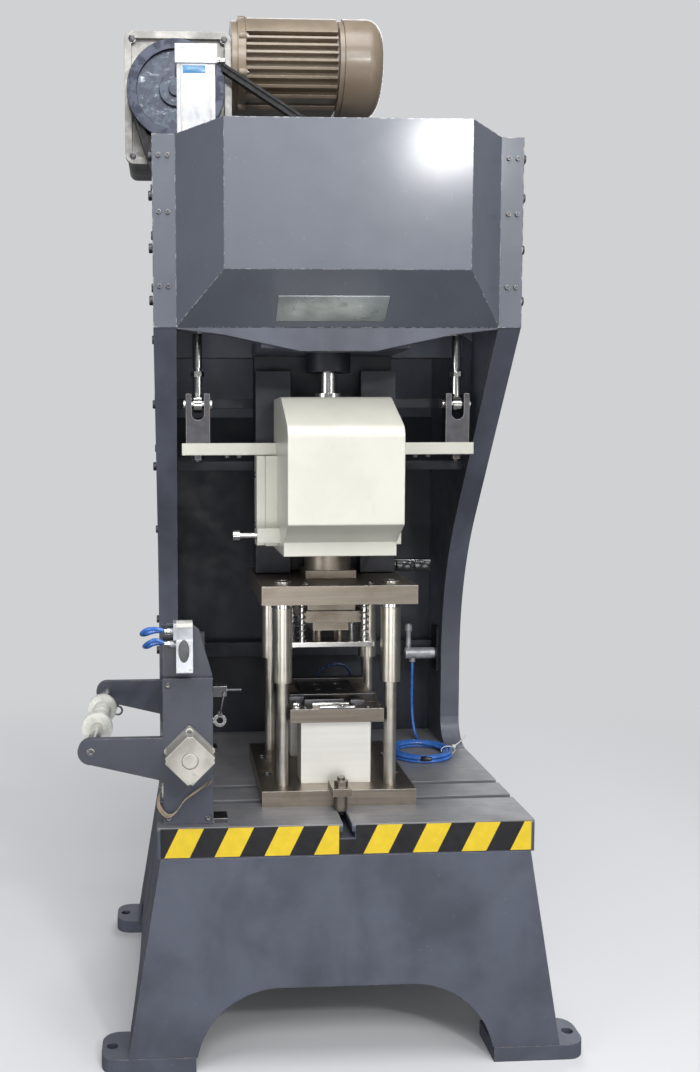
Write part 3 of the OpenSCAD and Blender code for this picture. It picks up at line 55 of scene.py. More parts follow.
# Colours as they look, in sRGB from 0 to 255
FRAME_BLUE = (84, 88, 100)
HOOD_GREY = (92, 97, 108)
# The inner parts' near-black: dark paint, darkened further as painted shade for the deep throat
NAVY_AND_SHADE = (21, 24, 35)
CREAM = (215, 214, 202)
MOTOR_BROWN = (137, 122, 104)
GEAR_GREY = (160, 158, 154)
DIE_STEEL = (140, 131, 120)
BRIGHT_STEEL = (206, 205, 201)
BLOCK_SILVER = (232, 230, 223)
STEPPER_SILVER = (196, 192, 184)
DARK_STEEL = (86, 86, 90)
SLATE = (50, 54, 66)
FEEDER_BLUE = (68, 71, 82)
BRONZE = (172, 132, 74)
TAPE_YELLOW = (231, 199, 46)
TAPE_BLACK = (30, 30, 33)
TUBE_BLUE = (58, 112, 196)
TUBE_SHADED = (34, 56, 92)
BAND_BLUE = (86, 150, 200)
SPOOL_WHITE = (226, 226, 218)
BUSH_STEEL = (208, 202, 190)
# The strip rails' steel, darkened as painted shade for the shadowed rear of the die
POST_STEEL = (208, 203, 192)
RAIL_STEEL_AND_SHADE = (66, 64, 66)
SILVER = (192, 195, 200)
CYLINDER_SILVER = (188, 190, 194)
PLATE_SILVER = (168, 174, 174)
BOSS_GREY = (150, 146, 139)
PLASTIC_GREY = (92, 93, 96)
RUBBER = (38, 38, 40)
GLOSS_BLACK = (26, 27, 30)
WIRE_BROWN = (128, 102, 84)
WIRE_PALE = (172, 158, 138)
GROUND_STAIN = (190, 186, 176)
OIL_BROWN = (112, 92, 70)
BARE_METAL = (222, 222, 220)
MOTOR_WORN = (190, 178, 164)
SOOT = (196, 190, 170)
CREAM_CHIP = (150, 142, 122)
WEB_BLOTCH = (92, 100, 112)
WEB_SCRAPE = (176, 184, 194)
BED_TONES = ((130, 130, 133), (148, 148, 150), (104, 105, 111))
VALVE_TONES = ((150, 150, 156), (196, 197, 202))
FLOOR_PALE = (226, 227, 229)
FLOOR_BOUNCE = (110, 111, 114)
BACKGROUND = (208, 209, 211)
FLOOR_HALF = 14
FLOOR_FADE = (0.9, 2.6)
SKY_LEVEL = 0.30
SKY_TINT = (236, 240, 246)
EDGE_SAMPLES = 6
SHARP_EDGE = math.radians(35)
FULL_TURN = 2 * math.pi

# The camera, solved from the photograph's straight edges
CAMERA_PLACE = Vector((-0.26237, -1.78212, 0.96143))
CAMERA_YAW = 0.0523
CAMERA_PITCH = 0.0810
CAMERA_ROLL = -0.0043
CAMERA_LENS = 35.57
CAMERA_SHIFT = (0.1137, -0.0027)

# Places shared by several pieces, in metres
BED_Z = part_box("bed_plate")[1].z
BED_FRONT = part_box("bed_plate")[0].y
FRAME_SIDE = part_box("bed_plate")[1].x
PLATE_T = 36 * MM
POST_PLACES = [(x, y) for x in (-88 * MM, 88 * MM) for y in (-103 * MM, 103 * MM)]


def linear(colour):
    """An sRGB colour, 0 to 255, as the linear RGBA that a shader takes."""
    parts = [c / 255 for c in colour]
    return tuple(c / 12.92 if c <= 0.04045 else ((c + 0.055) / 1.055) ** 2.4 for c in parts) + (1,)


def shade(colour, factor):
    """The same colour, lighter or darker."""
    return tuple(min(255, c * factor) for c in colour)


# Surfaces

class Surface:
    """A Principled material whose textures run in the part's own frame, in metres."""

    def __init__(self, name, metallic=0.0, roughness=0.5, coat=0.0):
        self.material = bpy.data.materials.new(name)
        self.material.use_nodes = True
        self.tree = self.material.node_tree
        self.shader = self.tree.nodes["Principled BSDF"]
        self.shader.inputs["Metallic"].default_value = metallic
        self.shader.inputs["Roughness"].default_value = roughness
        self.shader.inputs["Coat Weight"].default_value = coat
        self.shader.inputs["Coat Roughness"].default_value = 0.18
        self.place = self.new("ShaderNodeTexCoord").outputs["Object"]

    def new(self, kind):
        return self.tree.nodes.new(kind)

    def feed(self, socket, value):
        """Link a socket's value, or set a plain one."""
        if isinstance(value, bpy.types.NodeSocket):
            self.tree.links.new(value, socket)
        else:
            socket.default_value = value

    def noise(self, scale, detail, stretch=(1, 1, 1), rough=0.55):
        spread = self.new("ShaderNodeMapping")
        self.feed(spread.inputs["Vector"], self.place)
        spread.inputs["Scale"].default_value = stretch
        made = self.new("ShaderNodeTexNoise")
        self.feed(made.inputs["Vector"], spread.outputs["Vector"])
        made.inputs["Scale"].default_value = scale
        made.inputs["Detail"].default_value = detail
        made.inputs["Roughness"].default_value = rough
        return made.outputs["Fac"]

    def along(self, axis):
        """The place along X, Y or Z, in metres."""
        parts = self.new("ShaderNodeSeparateXYZ")
        self.feed(parts.inputs["Vector"], self.place)
        return parts.outputs[axis]

    def between(self, value, low, high, to_low=0.0, to_high=1.0):
        """A smooth step from to_low to to_high while value goes from low to high."""
        made = self.new("ShaderNodeMapRange")
        made.interpolation_type = "SMOOTHSTEP"
        for name, v in (("Value", value), ("From Min", low), ("From Max", high), ("To Min", to_low),
                        ("To Max", to_high)):
            self.feed(made.inputs[name], v)
        return made.outputs["Result"]

    def maths(self, how, a, b):
        made = self.new("ShaderNodeMath")
        made.operation = how
        self.feed(made.inputs[0], a)
        self.feed(made.inputs[1], b)
        return made.outputs["Value"]

    def vector(self, how, a, b=(0, 0, 0), out="Vector"):
        """Vector maths, where a length or a dot product comes out as Value."""
        made = self.new("ShaderNodeVectorMath")
        made.operation = how
        self.feed(made.inputs[0], a)
        self.feed(made.inputs[1], b)
        return made.outputs[out]

    def mix(self, share, a, b):
        made = self.new("ShaderNodeMix")
        made.data_type = "RGBA"
        self.feed(made.inputs["Factor"], share)
        self.feed(made.inputs["A"], a if isinstance(a, bpy.types.NodeSocket) else linear(a))
        self.feed(made.inputs["B"], b if isinstance(b, bpy.types.NodeSocket) else linear(b))
        return made.outputs["Result"]

    def edges(self, radius):
        """1 along sharp outer and inner edges, 0 on flat faces."""
        bevel = self.new("ShaderNodeBevel")
        bevel.samples = EDGE_SAMPLES
        bevel.inputs["Radius"].default_value = radius
        facing = self.new("ShaderNodeNewGeometry")
        dot = self.vector("DOT_PRODUCT", bevel.outputs["Normal"], facing.outputs["Normal"], "Value")
        return self.between(dot, 0.97, 0.80)

    def relief(self, height, depth, edge_radius):
        """Bump of that depth over softly rounded edges."""
        bump = self.new("ShaderNodeBump")
        bump.inputs["Strength"].default_value = 1.0
        bump.inputs["Distance"].default_value = depth
        self.feed(bump.inputs["Height"], height)
        bevel = self.new("ShaderNodeBevel")
        bevel.samples = EDGE_SAMPLES
        bevel.inputs["Radius"].default_value = edge_radius
        self.feed(bump.inputs["Normal"], bevel.outputs["Normal"])
        self.feed(self.shader.inputs["Normal"], bump.outputs["Normal"])

    def colour(self, value):
        self.feed(self.shader.inputs["Base Color"], value)

    def roughness(self, value):
        self.feed(self.shader.inputs["Roughness"], value)


def enamel(name, colour, rough=0.40, cloud=0.10, chips=0.6, grime=0.4, coat=0.15, worn=DIE_STEEL,
           even=0.06, gloss=0.18):
    """Sprayed enamel: cloudy tone, orange peel, streaks of grime, and chips along the edges."""
    s = Surface(name, coat=coat)
    s.shader.inputs["Coat Roughness"].default_value = gloss
    tone = s.mix(s.between(s.noise(7, 5), 0.35, 0.65), shade(colour, 1 - cloud), shade(colour, 1 + cloud))
    smear = s.between(s.noise(16, 6, (1, 1, 0.35)), 0.52, 0.72, 0.0, grime)
    tone = s.mix(smear, tone, shade(colour, 0.78))
    speck = s.between(s.noise(160, 2), 0.70, 0.76, 0.0, 0.5)
    tone = s.mix(speck, tone, shade(colour, 1.35))
    chip = s.maths("MULTIPLY", s.edges(0.0035), s.between(s.noise(120, 5), 0.50, 0.60, 0.0, chips))
    s.colour(s.mix(chip, tone, worn))
    s.roughness(s.between(s.noise(30, 6), 0.3, 0.7, rough - even, rough + 1.5 * even))
    s.relief(s.noise(420, 3), 0.00012, 0.002)
    return s.material


def steel(name, colour, rough, grain, stain, stain_colour=OIL_BROWN, nicks=0.0, streak=0.08,
          metallic=1.0):
    """Bare steel: grinding lines along one direction, oily stains and, where wanted, bright nicked edges."""
    s = Surface(name, metallic=metallic)
    line = s.noise(1.0, 3, grain)
    tone = s.mix(s.between(line, 0.3, 0.7), shade(colour, 1 - streak), shade(colour, 1 + streak / 2))
    stained = s.between(s.noise(26, 7), 0.50, 0.74, 0.0, stain)
    tone = s.mix(stained, tone, stain_colour)
    if nicks:
        tone = s.mix(s.maths("MULTIPLY", s.edges(0.0025), nicks), tone, BRIGHT_STEEL)
    s.colour(tone)
    dull = s.between(line, 0.3, 0.7, rough - streak / 2, rough + streak / 2)
    s.roughness(s.maths("ADD", dull, s.maths("MULTIPLY", stained, 0.3)))
    s.relief(line, 0.00004, 0.0009)
    return s.material


def cast(name, colour, rough, metallic=0.6, grit=500, pits=0.00025):
    """Cast metal: grainy skin, cloudy tone and bright rubbed edges."""
    s = Surface(name, metallic=metallic)
    tone = s.mix(s.between(s.noise(12, 6), 0.35, 0.65), shade(colour, 0.84), shade(colour, 1.10))
    tone = s.mix(s.between(s.noise(48, 5), 0.56, 0.72, 0.0, 0.45), tone, shade(colour, 0.66))
    tone = s.mix(s.maths("MULTIPLY", s.edges(0.003), 0.5), tone, shade(colour, 1.3))
    s.colour(tone)
    s.roughness(s.between(s.noise(60, 4), 0.3, 0.7, rough - 0.1, rough + 0.12))
    s.relief(s.noise(grit, 4), pits, 0.0018)
    return s.material


def plain(name, colour, rough, coat=0.0, depth=0.00008, grit=600, cloud=0.10):
    """Moulded plastic or rubber with a faint skin."""
    s = Surface(name, coat=coat)
    cloudy = s.between(s.noise(60, 5), 0.35, 0.7)
    s.colour(s.mix(cloudy, shade(colour, 1 - cloud), shade(colour, 1 + cloud / 2)))
    s.roughness(s.between(s.noise(90, 3), 0.3, 0.7, rough - 0.06, rough + 0.1))
    s.relief(s.noise(grit, 3), depth, 0.0007)
    return s.material


# Where the pulley's web ends and its rim begins, as shares of its radius
RIM_SHARE = (0.785, 0.80)


def blotched_disc():
    """The pulley: a painted rim round a web that is scraped back to bright metal in blotches."""
    low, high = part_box("pulley")
    s = Surface("pulley_surface", metallic=0.5)
    flat = s.vector("MULTIPLY", s.vector("SUBTRACT", s.place, (low + high) / 2), (1, 0, 1))
    away = s.vector("LENGTH", flat, out="Value")
    radius = (high.x - low.x) / 2
    rim = s.between(away, RIM_SHARE[0] * radius, RIM_SHARE[1] * radius)
    blot = s.between(s.noise(46, 8, rough=0.72), 0.47, 0.56)
    scrape = s.between(s.noise(30, 9, (1, 1, 2.5), rough=0.8), 0.55, 0.66)
    web = s.mix(scrape, s.mix(blot, SLATE, WEB_BLOTCH), WEB_SCRAPE)
    s.colour(s.mix(rim, web, shade(SLATE, 1.12)))
    s.roughness(s.between(blot, 0.0, 1.0, 0.34, 0.55))
    s.relief(s.noise(260, 4), 0.0002, 0.0015)
    return s.material


def bed_steel():
    """The bed top: planed steel, darkened by oil, with paint left on its rim."""
    s = Surface("bed_surface", metallic=0.35)
    line = s.noise(1.0, 4, (5, 420, 420))
    low, high, oily = BED_TONES
    tone = s.mix(s.between(line, 0.3, 0.7), low, high)
    tone = s.mix(s.between(s.noise(9, 6), 0.42, 0.7, 0.0, 0.6), tone, oily)
    rim = s.between(s.along("Z"), BED_Z - 6 * MM, BED_Z - 2 * MM)
    s.colour(s.mix(rim, FRAME_BLUE, tone))
    s.roughness(s.between(s.noise(22, 6), 0.3, 0.7, 0.34, 0.52))
    s.relief(line, 0.00005, 0.0012)
    return s.material


def valve_body():
    """The air valve: die-cast silver on a painted base against the side plate."""
    s = Surface("air_valve_surface", metallic=0.4)
    wall = FRAME_SIDE - PLATE_T
    painted = s.between(s.along("X"), wall - 6.8 * MM, wall - 6 * MM)
    metal = s.mix(s.between(s.noise(60, 5), 0.35, 0.7), *VALVE_TONES)
    # The base takes the inner parts' near-black: dark paint, darkened further as painted shade
    s.colour(s.mix(painted, metal, NAVY_AND_SHADE))
    s.roughness(s.between(s.noise(90, 3), 0.3, 0.7, 0.30, 0.44))
    s.relief(s.noise(700, 3), 0.00006, 0.0012)
    return s.material


def ribbed_cream():
    """Cream enamel of the ram, with faint soot in cloudy patches."""
    s = Surface("ram_surface", coat=0.3)
    tone = s.mix(s.between(s.noise(9, 5), 0.35, 0.65), shade(CREAM, 0.97), shade(CREAM, 1.01))
    soot = s.between(s.noise(34, 7), 0.60, 0.80, 0.0, 0.30)
    tone = s.mix(soot, tone, SOOT)
    chip = s.maths("MULTIPLY", s.edges(0.003), s.between(s.noise(150, 4), 0.55, 0.62, 0.0, 0.45))
    s.colour(s.mix(chip, tone, CREAM_CHIP))
    s.roughness(s.between(s.noise(40, 4), 0.3, 0.7, 0.30, 0.44))
    s.relief(s.noise(380, 3), 0.00014, 0.003)
    return s.material


surface = {
    "frame": enamel("frame_enamel", FRAME_BLUE),
    "hood": enamel("hood_enamel", HOOD_GREY, rough=0.42, cloud=0.03, chips=0.9, grime=0.10, coat=0.42,
                   worn=BARE_METAL, even=0.02, gloss=0.15),
    "feeder": enamel("feeder_enamel", FEEDER_BLUE, rough=0.42, cloud=0.06),
    # Inner walls, guide rails, ties and rod bush: dark paint, darkened further as painted shade
    "navy_and_shade": enamel("inner_enamel_and_shade", NAVY_AND_SHADE, rough=0.52, cloud=0.14, chips=0.15, coat=0.0),
    "cream": ribbed_cream(),
    "motor": enamel("motor_enamel", MOTOR_BROWN, rough=0.34, cloud=0.06, chips=0.5, coat=0.3,
                    worn=MOTOR_WORN),
    "gear": cast("gearbox_cast", GEAR_GREY, rough=0.46, metallic=0.45),
    "bed": bed_steel(),
    "die": steel("die_steel", DIE_STEEL, rough=0.40, grain=(60, 60, 60), stain=0.35, nicks=0.5, streak=0.05),
    "die_flat": steel("plate_steel", DIE_STEEL, rough=0.38, grain=(8, 120, 260), stain=0.35, nicks=0.6,
                      streak=0.06),
    "bright": steel("bright_steel", BRIGHT_STEEL, rough=0.17, grain=(3, 3, 500), stain=0.06, streak=0.04),
    "bright_y": steel("bright_steel_turned", BRIGHT_STEEL, rough=0.20, grain=(3, 500, 3), stain=0.10,
                      streak=0.05),
    "bush": steel("bush_steel", BUSH_STEEL, rough=0.30, grain=(3, 3, 90), stain=0.22, streak=0.03),
    "post": steel("post_steel", POST_STEEL, rough=0.31, grain=(3, 3, 90), stain=0.20, streak=0.03),
    # Strip rails: steel darkened as painted shade
    "rail": steel("rail_steel_and_shade", RAIL_STEEL_AND_SHADE, rough=0.36, grain=(8, 120, 260), stain=0.35, nicks=0.5,
                  streak=0.06),
    "block": steel("ground_block", BLOCK_SILVER, rough=0.42, grain=(3, 3, 90), stain=0.06,
                   stain_colour=GROUND_STAIN, nicks=0.3, streak=0.02, metallic=0.55),
    "stepper": cast("stepper_cast", STEPPER_SILVER, rough=0.42, metallic=0.5, grit=700, pits=0.00006),
    "dark": steel("dark_steel", DARK_STEEL, rough=0.42, grain=(90, 90, 90), stain=0.4, nicks=0.6),
    "pulley": blotched_disc(),
    "iron": cast("cast_iron", SLATE, rough=0.5),
    "bronze": steel("bronze", BRONZE, rough=0.32, grain=(200, 4, 200), stain=0.3),
    "belt": plain("belt_rubber", RUBBER, rough=0.66, depth=0.0003, grit=300),
    "white": plain("white_plastic", SPOOL_WHITE, rough=0.42),
    "silver": cast("anodised_silver", SILVER, rough=0.34, metallic=0.4, grit=900, pits=0.00003),
    "cylinder": cast("cylinder_skin", CYLINDER_SILVER, rough=0.38, metallic=0.2, grit=900, pits=0.00003),
    "bare": cast("bare_plate_skin", PLATE_SILVER, rough=0.36, metallic=0.5, grit=900, pits=0.00003),
    "air_valve": valve_body(),
    "tube_shaded": plain("shaded_tube", TUBE_SHADED, rough=0.3, coat=0.3, depth=0.00003),
    "tube": plain("blue_tube", TUBE_BLUE, rough=0.24, coat=0.5, depth=0.00003),
    "yellow": plain("tape_yellow", TAPE_YELLOW, rough=0.40, cloud=0.03),
    "black": plain("tape_black", TAPE_BLACK, rough=0.42),
    "band": plain("blue_band", BAND_BLUE, rough=0.3, coat=0.3),
    "wire": plain("wire_brown", WIRE_BROWN, rough=0.42),
    "wire_pale": plain("wire_pale", WIRE_PALE, rough=0.42),
    "gloss_black": plain("gloss_black", GLOSS_BLACK, rough=0.16, coat=0.7),
    "boss": cast("boss_cast", BOSS_GREY, rough=0.45, metallic=0.4, grit=700, pits=0.00006),
    "grey": plain("grey_plastic", PLASTIC_GREY, rough=0.5),
}

NODE_SURFACE = {
    "side_plate_left": "frame", "side_plate_right": "frame", "bed_plate": "bed", "base_front": "frame",
    "base_sides": "frame", "base_back": "frame", "foot_pads": "frame", "head_plates": "frame",
    "slide_wall": "navy_and_shade", "guide_rails": "navy_and_shade", "cross_ties": "navy_and_shade", "back_wall": "navy_and_shade",
    "main_bearings": "bronze", "rod_bush": "navy_and_shade", "hood": "hood", "hood_screws": "dark",
    "rear_guard": "frame", "drive_bracket": "frame", "gearbox_case": "gear", "motor_frame": "motor",
    "fan_cowl": "motor", "drive_belt": "belt", "balance_shelves": "frame", "balance_cylinders": "cylinder",
    "crankshaft": "bright_y", "slide_block": "bronze", "flywheel": "iron", "pulley": "pulley",
    "motor_rotor": "bright", "ram_block": "cream", "ram_bar": "cream", "rod_forks": "dark",
    "fork_pins": "bright", "balance_rods": "bright", "ram_yoke": "bright", "die_shank": "die",
    "upper_shoe": "die_flat", "guide_bushes": "bush", "punch_holder": "die", "stripper_plate": "bright_y",
    "clamp_screw": "bright", "lower_shoe": "die_flat", "guide_posts": "post", "die_risers": "block",
    "die_plate": "die_flat", "strip_rails": "rail", "front_clamp": "die", "feeder_plates": "feeder",
    "feeder_ties": "dark", "valve_plate": "feeder", "solenoid_valve": "silver",
    "stepper_motor": "stepper", "feed_roll": "bright_y", "pinch_roll": "bright_y", "guide_bar": "bright_y",
    "guide_spool": "white", "release_lever": "bright", "air_valve": "air_valve", "air_hose": "tube",
    "hose_coil": "tube",
}


def dress_nodes():
    """Every CAD node gets its surface."""
    for name, obj in nodes.items():
        obj.data.materials.clear()
        obj.data.materials.append(surface[NODE_SURFACE[name]])


# Making pieces

def add_object(name, data):
    """A new object in the scene."""
    obj = bpy.data.objects.new(name, data)
    bpy.context.scene.collection.objects.link(obj)
    return obj


def finish_piece(name, bm, surface_name, body):
    """A mesh as a named piece that rides on a body and takes its material from the table of surfaces."""
    mesh = bpy.data.meshes.new(name)
    bmesh.ops.recalc_face_normals(bm, faces=bm.faces)
    bm.to_mesh(mesh)
    bm.free()
    mesh.materials.append(surface[surface_name])
    for face in mesh.polygons:
        face.use_smooth = True
    mesh.set_sharp_from_angle(angle=SHARP_EDGE)
    obj = add_object(name, mesh)
    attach(obj, body)
    return obj


def skin(bm, rings, caps=True):
    """Faces between rings of points that all have the same count."""
    made = [[bm.verts.new(p) for p in ring] for ring in rings]
    count = len(made[0])
    for a, b in zip(made, made[1:]):
        for i in range(count):
            bm.faces.new((a[i], a[(i + 1) % count], b[(i + 1) % count], b[i]))
    if caps:
        bm.faces.new(made[0][::-1])
        bm.faces.new(made[-1])


def angles(count):
    """That many angles, evenly round a circle."""
    return [FULL_TURN * i / count for i in range(count)]


def circle(place, radius, height, count):
    """A ring of points round the Z axis of place."""
    return [place @ Vector((radius * math.cos(t), radius * math.sin(t), height)) for t in angles(count)]


def frame_along(axis):
    """A rotation whose Z runs along axis."""
    return Vector(axis).to_track_quat("Z", "Y").to_matrix().to_4x4()


def turned(bm, base, axis, profile, count=32):
    """A turned solid: profile holds (radius, height) pairs along axis from base."""
    place = Matrix.Translation(base) @ frame_along(axis)
    skin(bm, [circle(place, radius, height, count) for radius, height in profile])


def collar(bm, base, inner, outer, height):
    """An upright ring with a chamfered rim and an open bore."""
    chamfer = 0.8 * MM
    profile = [(outer, 0), (outer, height - chamfer), (outer - chamfer, height), (inner, height), (inner, 0),
               (outer, 0)]
    place = Matrix.Translation(base)
    skin(bm, [circle(place, radius, z, 40) for radius, z in profile], caps=False)
    bmesh.ops.remove_doubles(bm, verts=bm.verts, dist=1e-6)


def hexagon(place, flat, height, count):
    """A hexagonal ring of points, 2 * flat from side to side."""
    step = math.pi / 3
    ring = []
    for t in angles(count):
        radius = flat / math.cos((t % step) - step / 2)
        ring.append(place @ Vector((radius * math.cos(t), radius * math.sin(t), height)))
    return ring


def cap_screw(bm, base, axis, radius, height, count=24):
    """A socket head with a chamfer and a hexagonal hole."""
    place = Matrix.Translation(base) @ frame_along(axis)
    chamfer = radius * 0.12
    hole = radius * 0.50
    skin(bm, [circle(place, radius, 0, count), circle(place, radius, height - chamfer, count),
              circle(place, radius - chamfer, height, count), hexagon(place, hole, height, count),
              hexagon(place, hole, height * 0.45, count), circle(place, hole * 0.2, height * 0.40, count)])


def corner_screws(bm, middle, half_x, half_y, radius, height):
    """Four upright cap screws in a rectangle round a middle."""
    for x in (-half_x, half_x):
        for y in (-half_y, half_y):
            cap_screw(bm, Vector(middle) + Vector((x, y, 0)), (0, 0, 1), radius, height)


def hex_bolt(bm, base, axis, flat, height):
    """A hexagon head with a round chamfer on top, over a washer."""
    place = Matrix.Translation(base) @ frame_along(axis)
    count = 24
    washer = height * 0.22
    skin(bm, [circle(place, flat * 1.35, 0, count), circle(place, flat * 1.35, washer, count),
              hexagon(place, flat, washer, count), hexagon(place, flat, height * 0.9, count),
              circle(place, flat * 0.93, height, count)])


def block(bm, low, high, bevel, place=None):
    """A block with rounded edges."""
    low, high = Vector(low), Vector(high)
    size = high - low
    matrix = Matrix.Translation((low + high) / 2) @ Matrix.Diagonal((*size, 1))
    made = bmesh.ops.create_cube(bm, size=1, matrix=(place or Matrix.Identity(4)) @ matrix)
    edges = list(dict.fromkeys(e for v in made["verts"] for e in v.link_edges))
    bmesh.ops.bevel(bm, geom=edges, offset=bevel, segments=2, profile=0.5, affect="EDGES")


def smooth_path(points, steps):
    """A rounded line through the points."""
    pts = [Vector(p) for p in points]
    pts = [2 * pts[0] - pts[1]] + pts + [2 * pts[-1] - pts[-2]]
    line = []
    for a, b, c, d in zip(pts, pts[1:], pts[2:], pts[3:]):
        for i in range(steps):
            t = i / steps
            line.append(0.5 * (2 * b + (c - a) * t + (2 * a - 5 * b + 4 * c - d) * t ** 2
                               + (3 * b - a - 3 * c + d) * t ** 3))
    line.append(pts[-2])
    return line


def sweep(bm, line, radius, count):
    """A round wire along a line of points."""
    side = Vector((0, 0, 1)).cross(line[1] - line[0])
    side = side.normalized() if side.length > 1e-6 else Vector((1, 0, 0))
    rings = []
    for i, p in enumerate(line):
        ahead = (line[min(i + 1, len(line) - 1)] - line[max(i - 1, 0)]).normalized()
        side = (side - ahead * side.dot(ahead)).normalized()
        up = ahead.cross(side)
        rings.append([p + radius * (side * math.cos(t) + up * math.sin(t)) for t in angles(count)])
    skin(bm, rings)


def wire_piece(name, points, radius, surface_name, body, steps, count):
    """A wire or tube through the points."""
    bm = bmesh.new()
    sweep(bm, smooth_path(points, steps), radius, count)
    finish_piece(name, bm, surface_name, body)


# Camera, floor and light

def make_camera():
    data = bpy.data.cameras.new("camera")
    data.sensor_width = 36
    data.sensor_fit = "AUTO"
    data.lens = CAMERA_LENS
    data.shift_x, data.shift_y = CAMERA_SHIFT
    flat = math.cos(CAMERA_PITCH)
    ahead = Vector((math.sin(CAMERA_YAW) * flat, math.cos(CAMERA_YAW) * flat, -math.sin(CAMERA_PITCH)))
    level = Vector((math.cos(CAMERA_YAW), -math.sin(CAMERA_YAW), 0))
    over = level.cross(ahead)
    right = level * math.cos(CAMERA_ROLL) + over * math.sin(CAMERA_ROLL)
    up = over * math.cos(CAMERA_ROLL) - level * math.sin(CAMERA_ROLL)
    turn = Matrix((right, up, -ahead)).transposed().to_4x4()
    camera = add_object("camera", data)
    camera.matrix_world = Matrix.Translation(CAMERA_PLACE) @ turn
    bpy.context.scene.camera = camera


def make_floor():
    """A pale floor with the model's shadow, which turns into the plain background further out."""
    bm = bmesh.new()
    bmesh.ops.create_grid(bm, x_segments=1, y_segments=1, size=FLOOR_HALF)
    mesh = bpy.data.meshes.new("floor")
    bm.to_mesh(mesh)
    bm.free()
    s = Surface("floor_pale", roughness=0.7)
    s.colour(linear(FLOOR_PALE))
    ray = s.new("ShaderNodeLightPath").outputs["Is Camera Ray"]
    far = s.between(s.vector("LENGTH", s.place, out="Value"), *FLOOR_FADE)
    plain_tone = s.new("ShaderNodeEmission")
    plain_tone.inputs["Color"].default_value = linear(BACKGROUND)
    faded = s.new("ShaderNodeMixShader")
    s.feed(faded.inputs["Fac"], far)
    s.feed(faded.inputs[1], s.shader.outputs["BSDF"])
    s.feed(faded.inputs[2], plain_tone.outputs["Emission"])
    dull = s.new("ShaderNodeBsdfDiffuse")
    dull.inputs["Color"].default_value = linear(FLOOR_BOUNCE)
    both = s.new("ShaderNodeMixShader")
    s.feed(both.inputs["Fac"], ray)
    s.feed(both.inputs[1], dull.outputs["BSDF"])
    s.feed(both.inputs[2], faded.outputs["Shader"])
    out = next(n for n in s.tree.nodes if n.type == "OUTPUT_MATERIAL")
    s.feed(out.inputs["Surface"], both.outputs["Shader"])
    mesh.materials.append(s.material)
    add_object("floor", mesh)


def make_world():
    """A dim even sky that the camera sees as the plain background."""
    world = bpy.data.worlds.new("studio")
    world.use_nodes = True
    world.node_tree.nodes.clear()
    new = world.node_tree.nodes.new
    link = world.node_tree.links.new
    ray = new("ShaderNodeLightPath")
    seen = new("ShaderNodeMath")
    seen.operation = "MAXIMUM"
    link(ray.outputs["Is Camera Ray"], seen.inputs[0])
    link(ray.outputs["Is Transmission Ray"], seen.inputs[1])
    lit = new("ShaderNodeBackground")
    lit.inputs["Color"].default_value = linear(SKY_TINT)
    lit.inputs["Strength"].default_value = SKY_LEVEL
    shown = new("ShaderNodeBackground")
    shown.inputs["Color"].default_value = linear(BACKGROUND)
    shown.inputs["Strength"].default_value = 1.0
    mixed = new("ShaderNodeMixShader")
    out = new("ShaderNodeOutputWorld")
    link(seen.outputs["Value"], mixed.inputs["Fac"])
    link(lit.outputs["Background"], mixed.inputs[1])
    link(shown.outputs["Background"], mixed.inputs[2])
    link(mixed.outputs["Shader"], out.inputs["Surface"])
    bpy.context.scene.world = world


def make_lamp(name, place, target, size, power):
    data = bpy.data.lights.new(name, "AREA")
    data.shape = "RECTANGLE"
    data.size, data.size_y = size
    data.energy = power
    lamp = add_object(name, data)
    lamp.location = place
    lamp.rotation_mode = "QUATERNION"
    lamp.rotation_quaternion = (Vector(target) - Vector(place)).to_track_quat("-Z", "Y")


# Lamps: name, place, target and size in metres, and power in watts.
# key_small stands where the hood's right half mirrors it towards the camera.
LAMPS = (("key_small", (0.85, -2.9, 2.17), (0, -0.1, 1.1), (0.25, 0.17), 22),
         ("key_wide", (-0.05, -2.9, 2.95), (0, 0, 0.9), (1.6, 0.8), 45),
         ("top", (0.1, -0.9, 3.6), (0, 0, 0.9), (1.6, 1.6), 46),
         ("right", (1.9, -2.3, 1.6), (0.15, -0.1, 1.2), (0.9, 0.9), 12),
         ("left", (-2.6, -2.1, 0.8), (0.25, 0, 1.0), (1.4, 1.4), 26),
         ("low_front", (-0.3, -2.9, 0.5), (0.2, 0, 0.9), (1.4, 0.7), 15),
         ("low_right", (1.2, -2.4, 0.3), (0.25, 0, 0.9), (0.6, 0.6), 4),
         ("back", (0.6, 2.8, 2.6), (0, 0, 1.0), (1.8, 1.8), 36))


def make_light():
    """The lamps and the world behind them."""
    make_world()
    for lamp in LAMPS:
        make_lamp(*lamp)


# Cords: the blue hose from the air valve, which lies in a coil on the bed

HOSE_D = 6 * MM
COIL_CENTRE = Vector((196, 135, 0)) * MM
COIL_R = 52 * MM
COIL_PITCH = 6.3 * MM
COIL_TURNS = 2.5
HOSE_ROUTE = [(205, 250, 540), (205, 250, 525), (205, 251, 500), (205, 252, 470), (206, 252, 440),
              (208, 249, 415), (210, 243, 400), (212, 233, 393), (212, 221, 391.5), (207, 209, 391.5)]


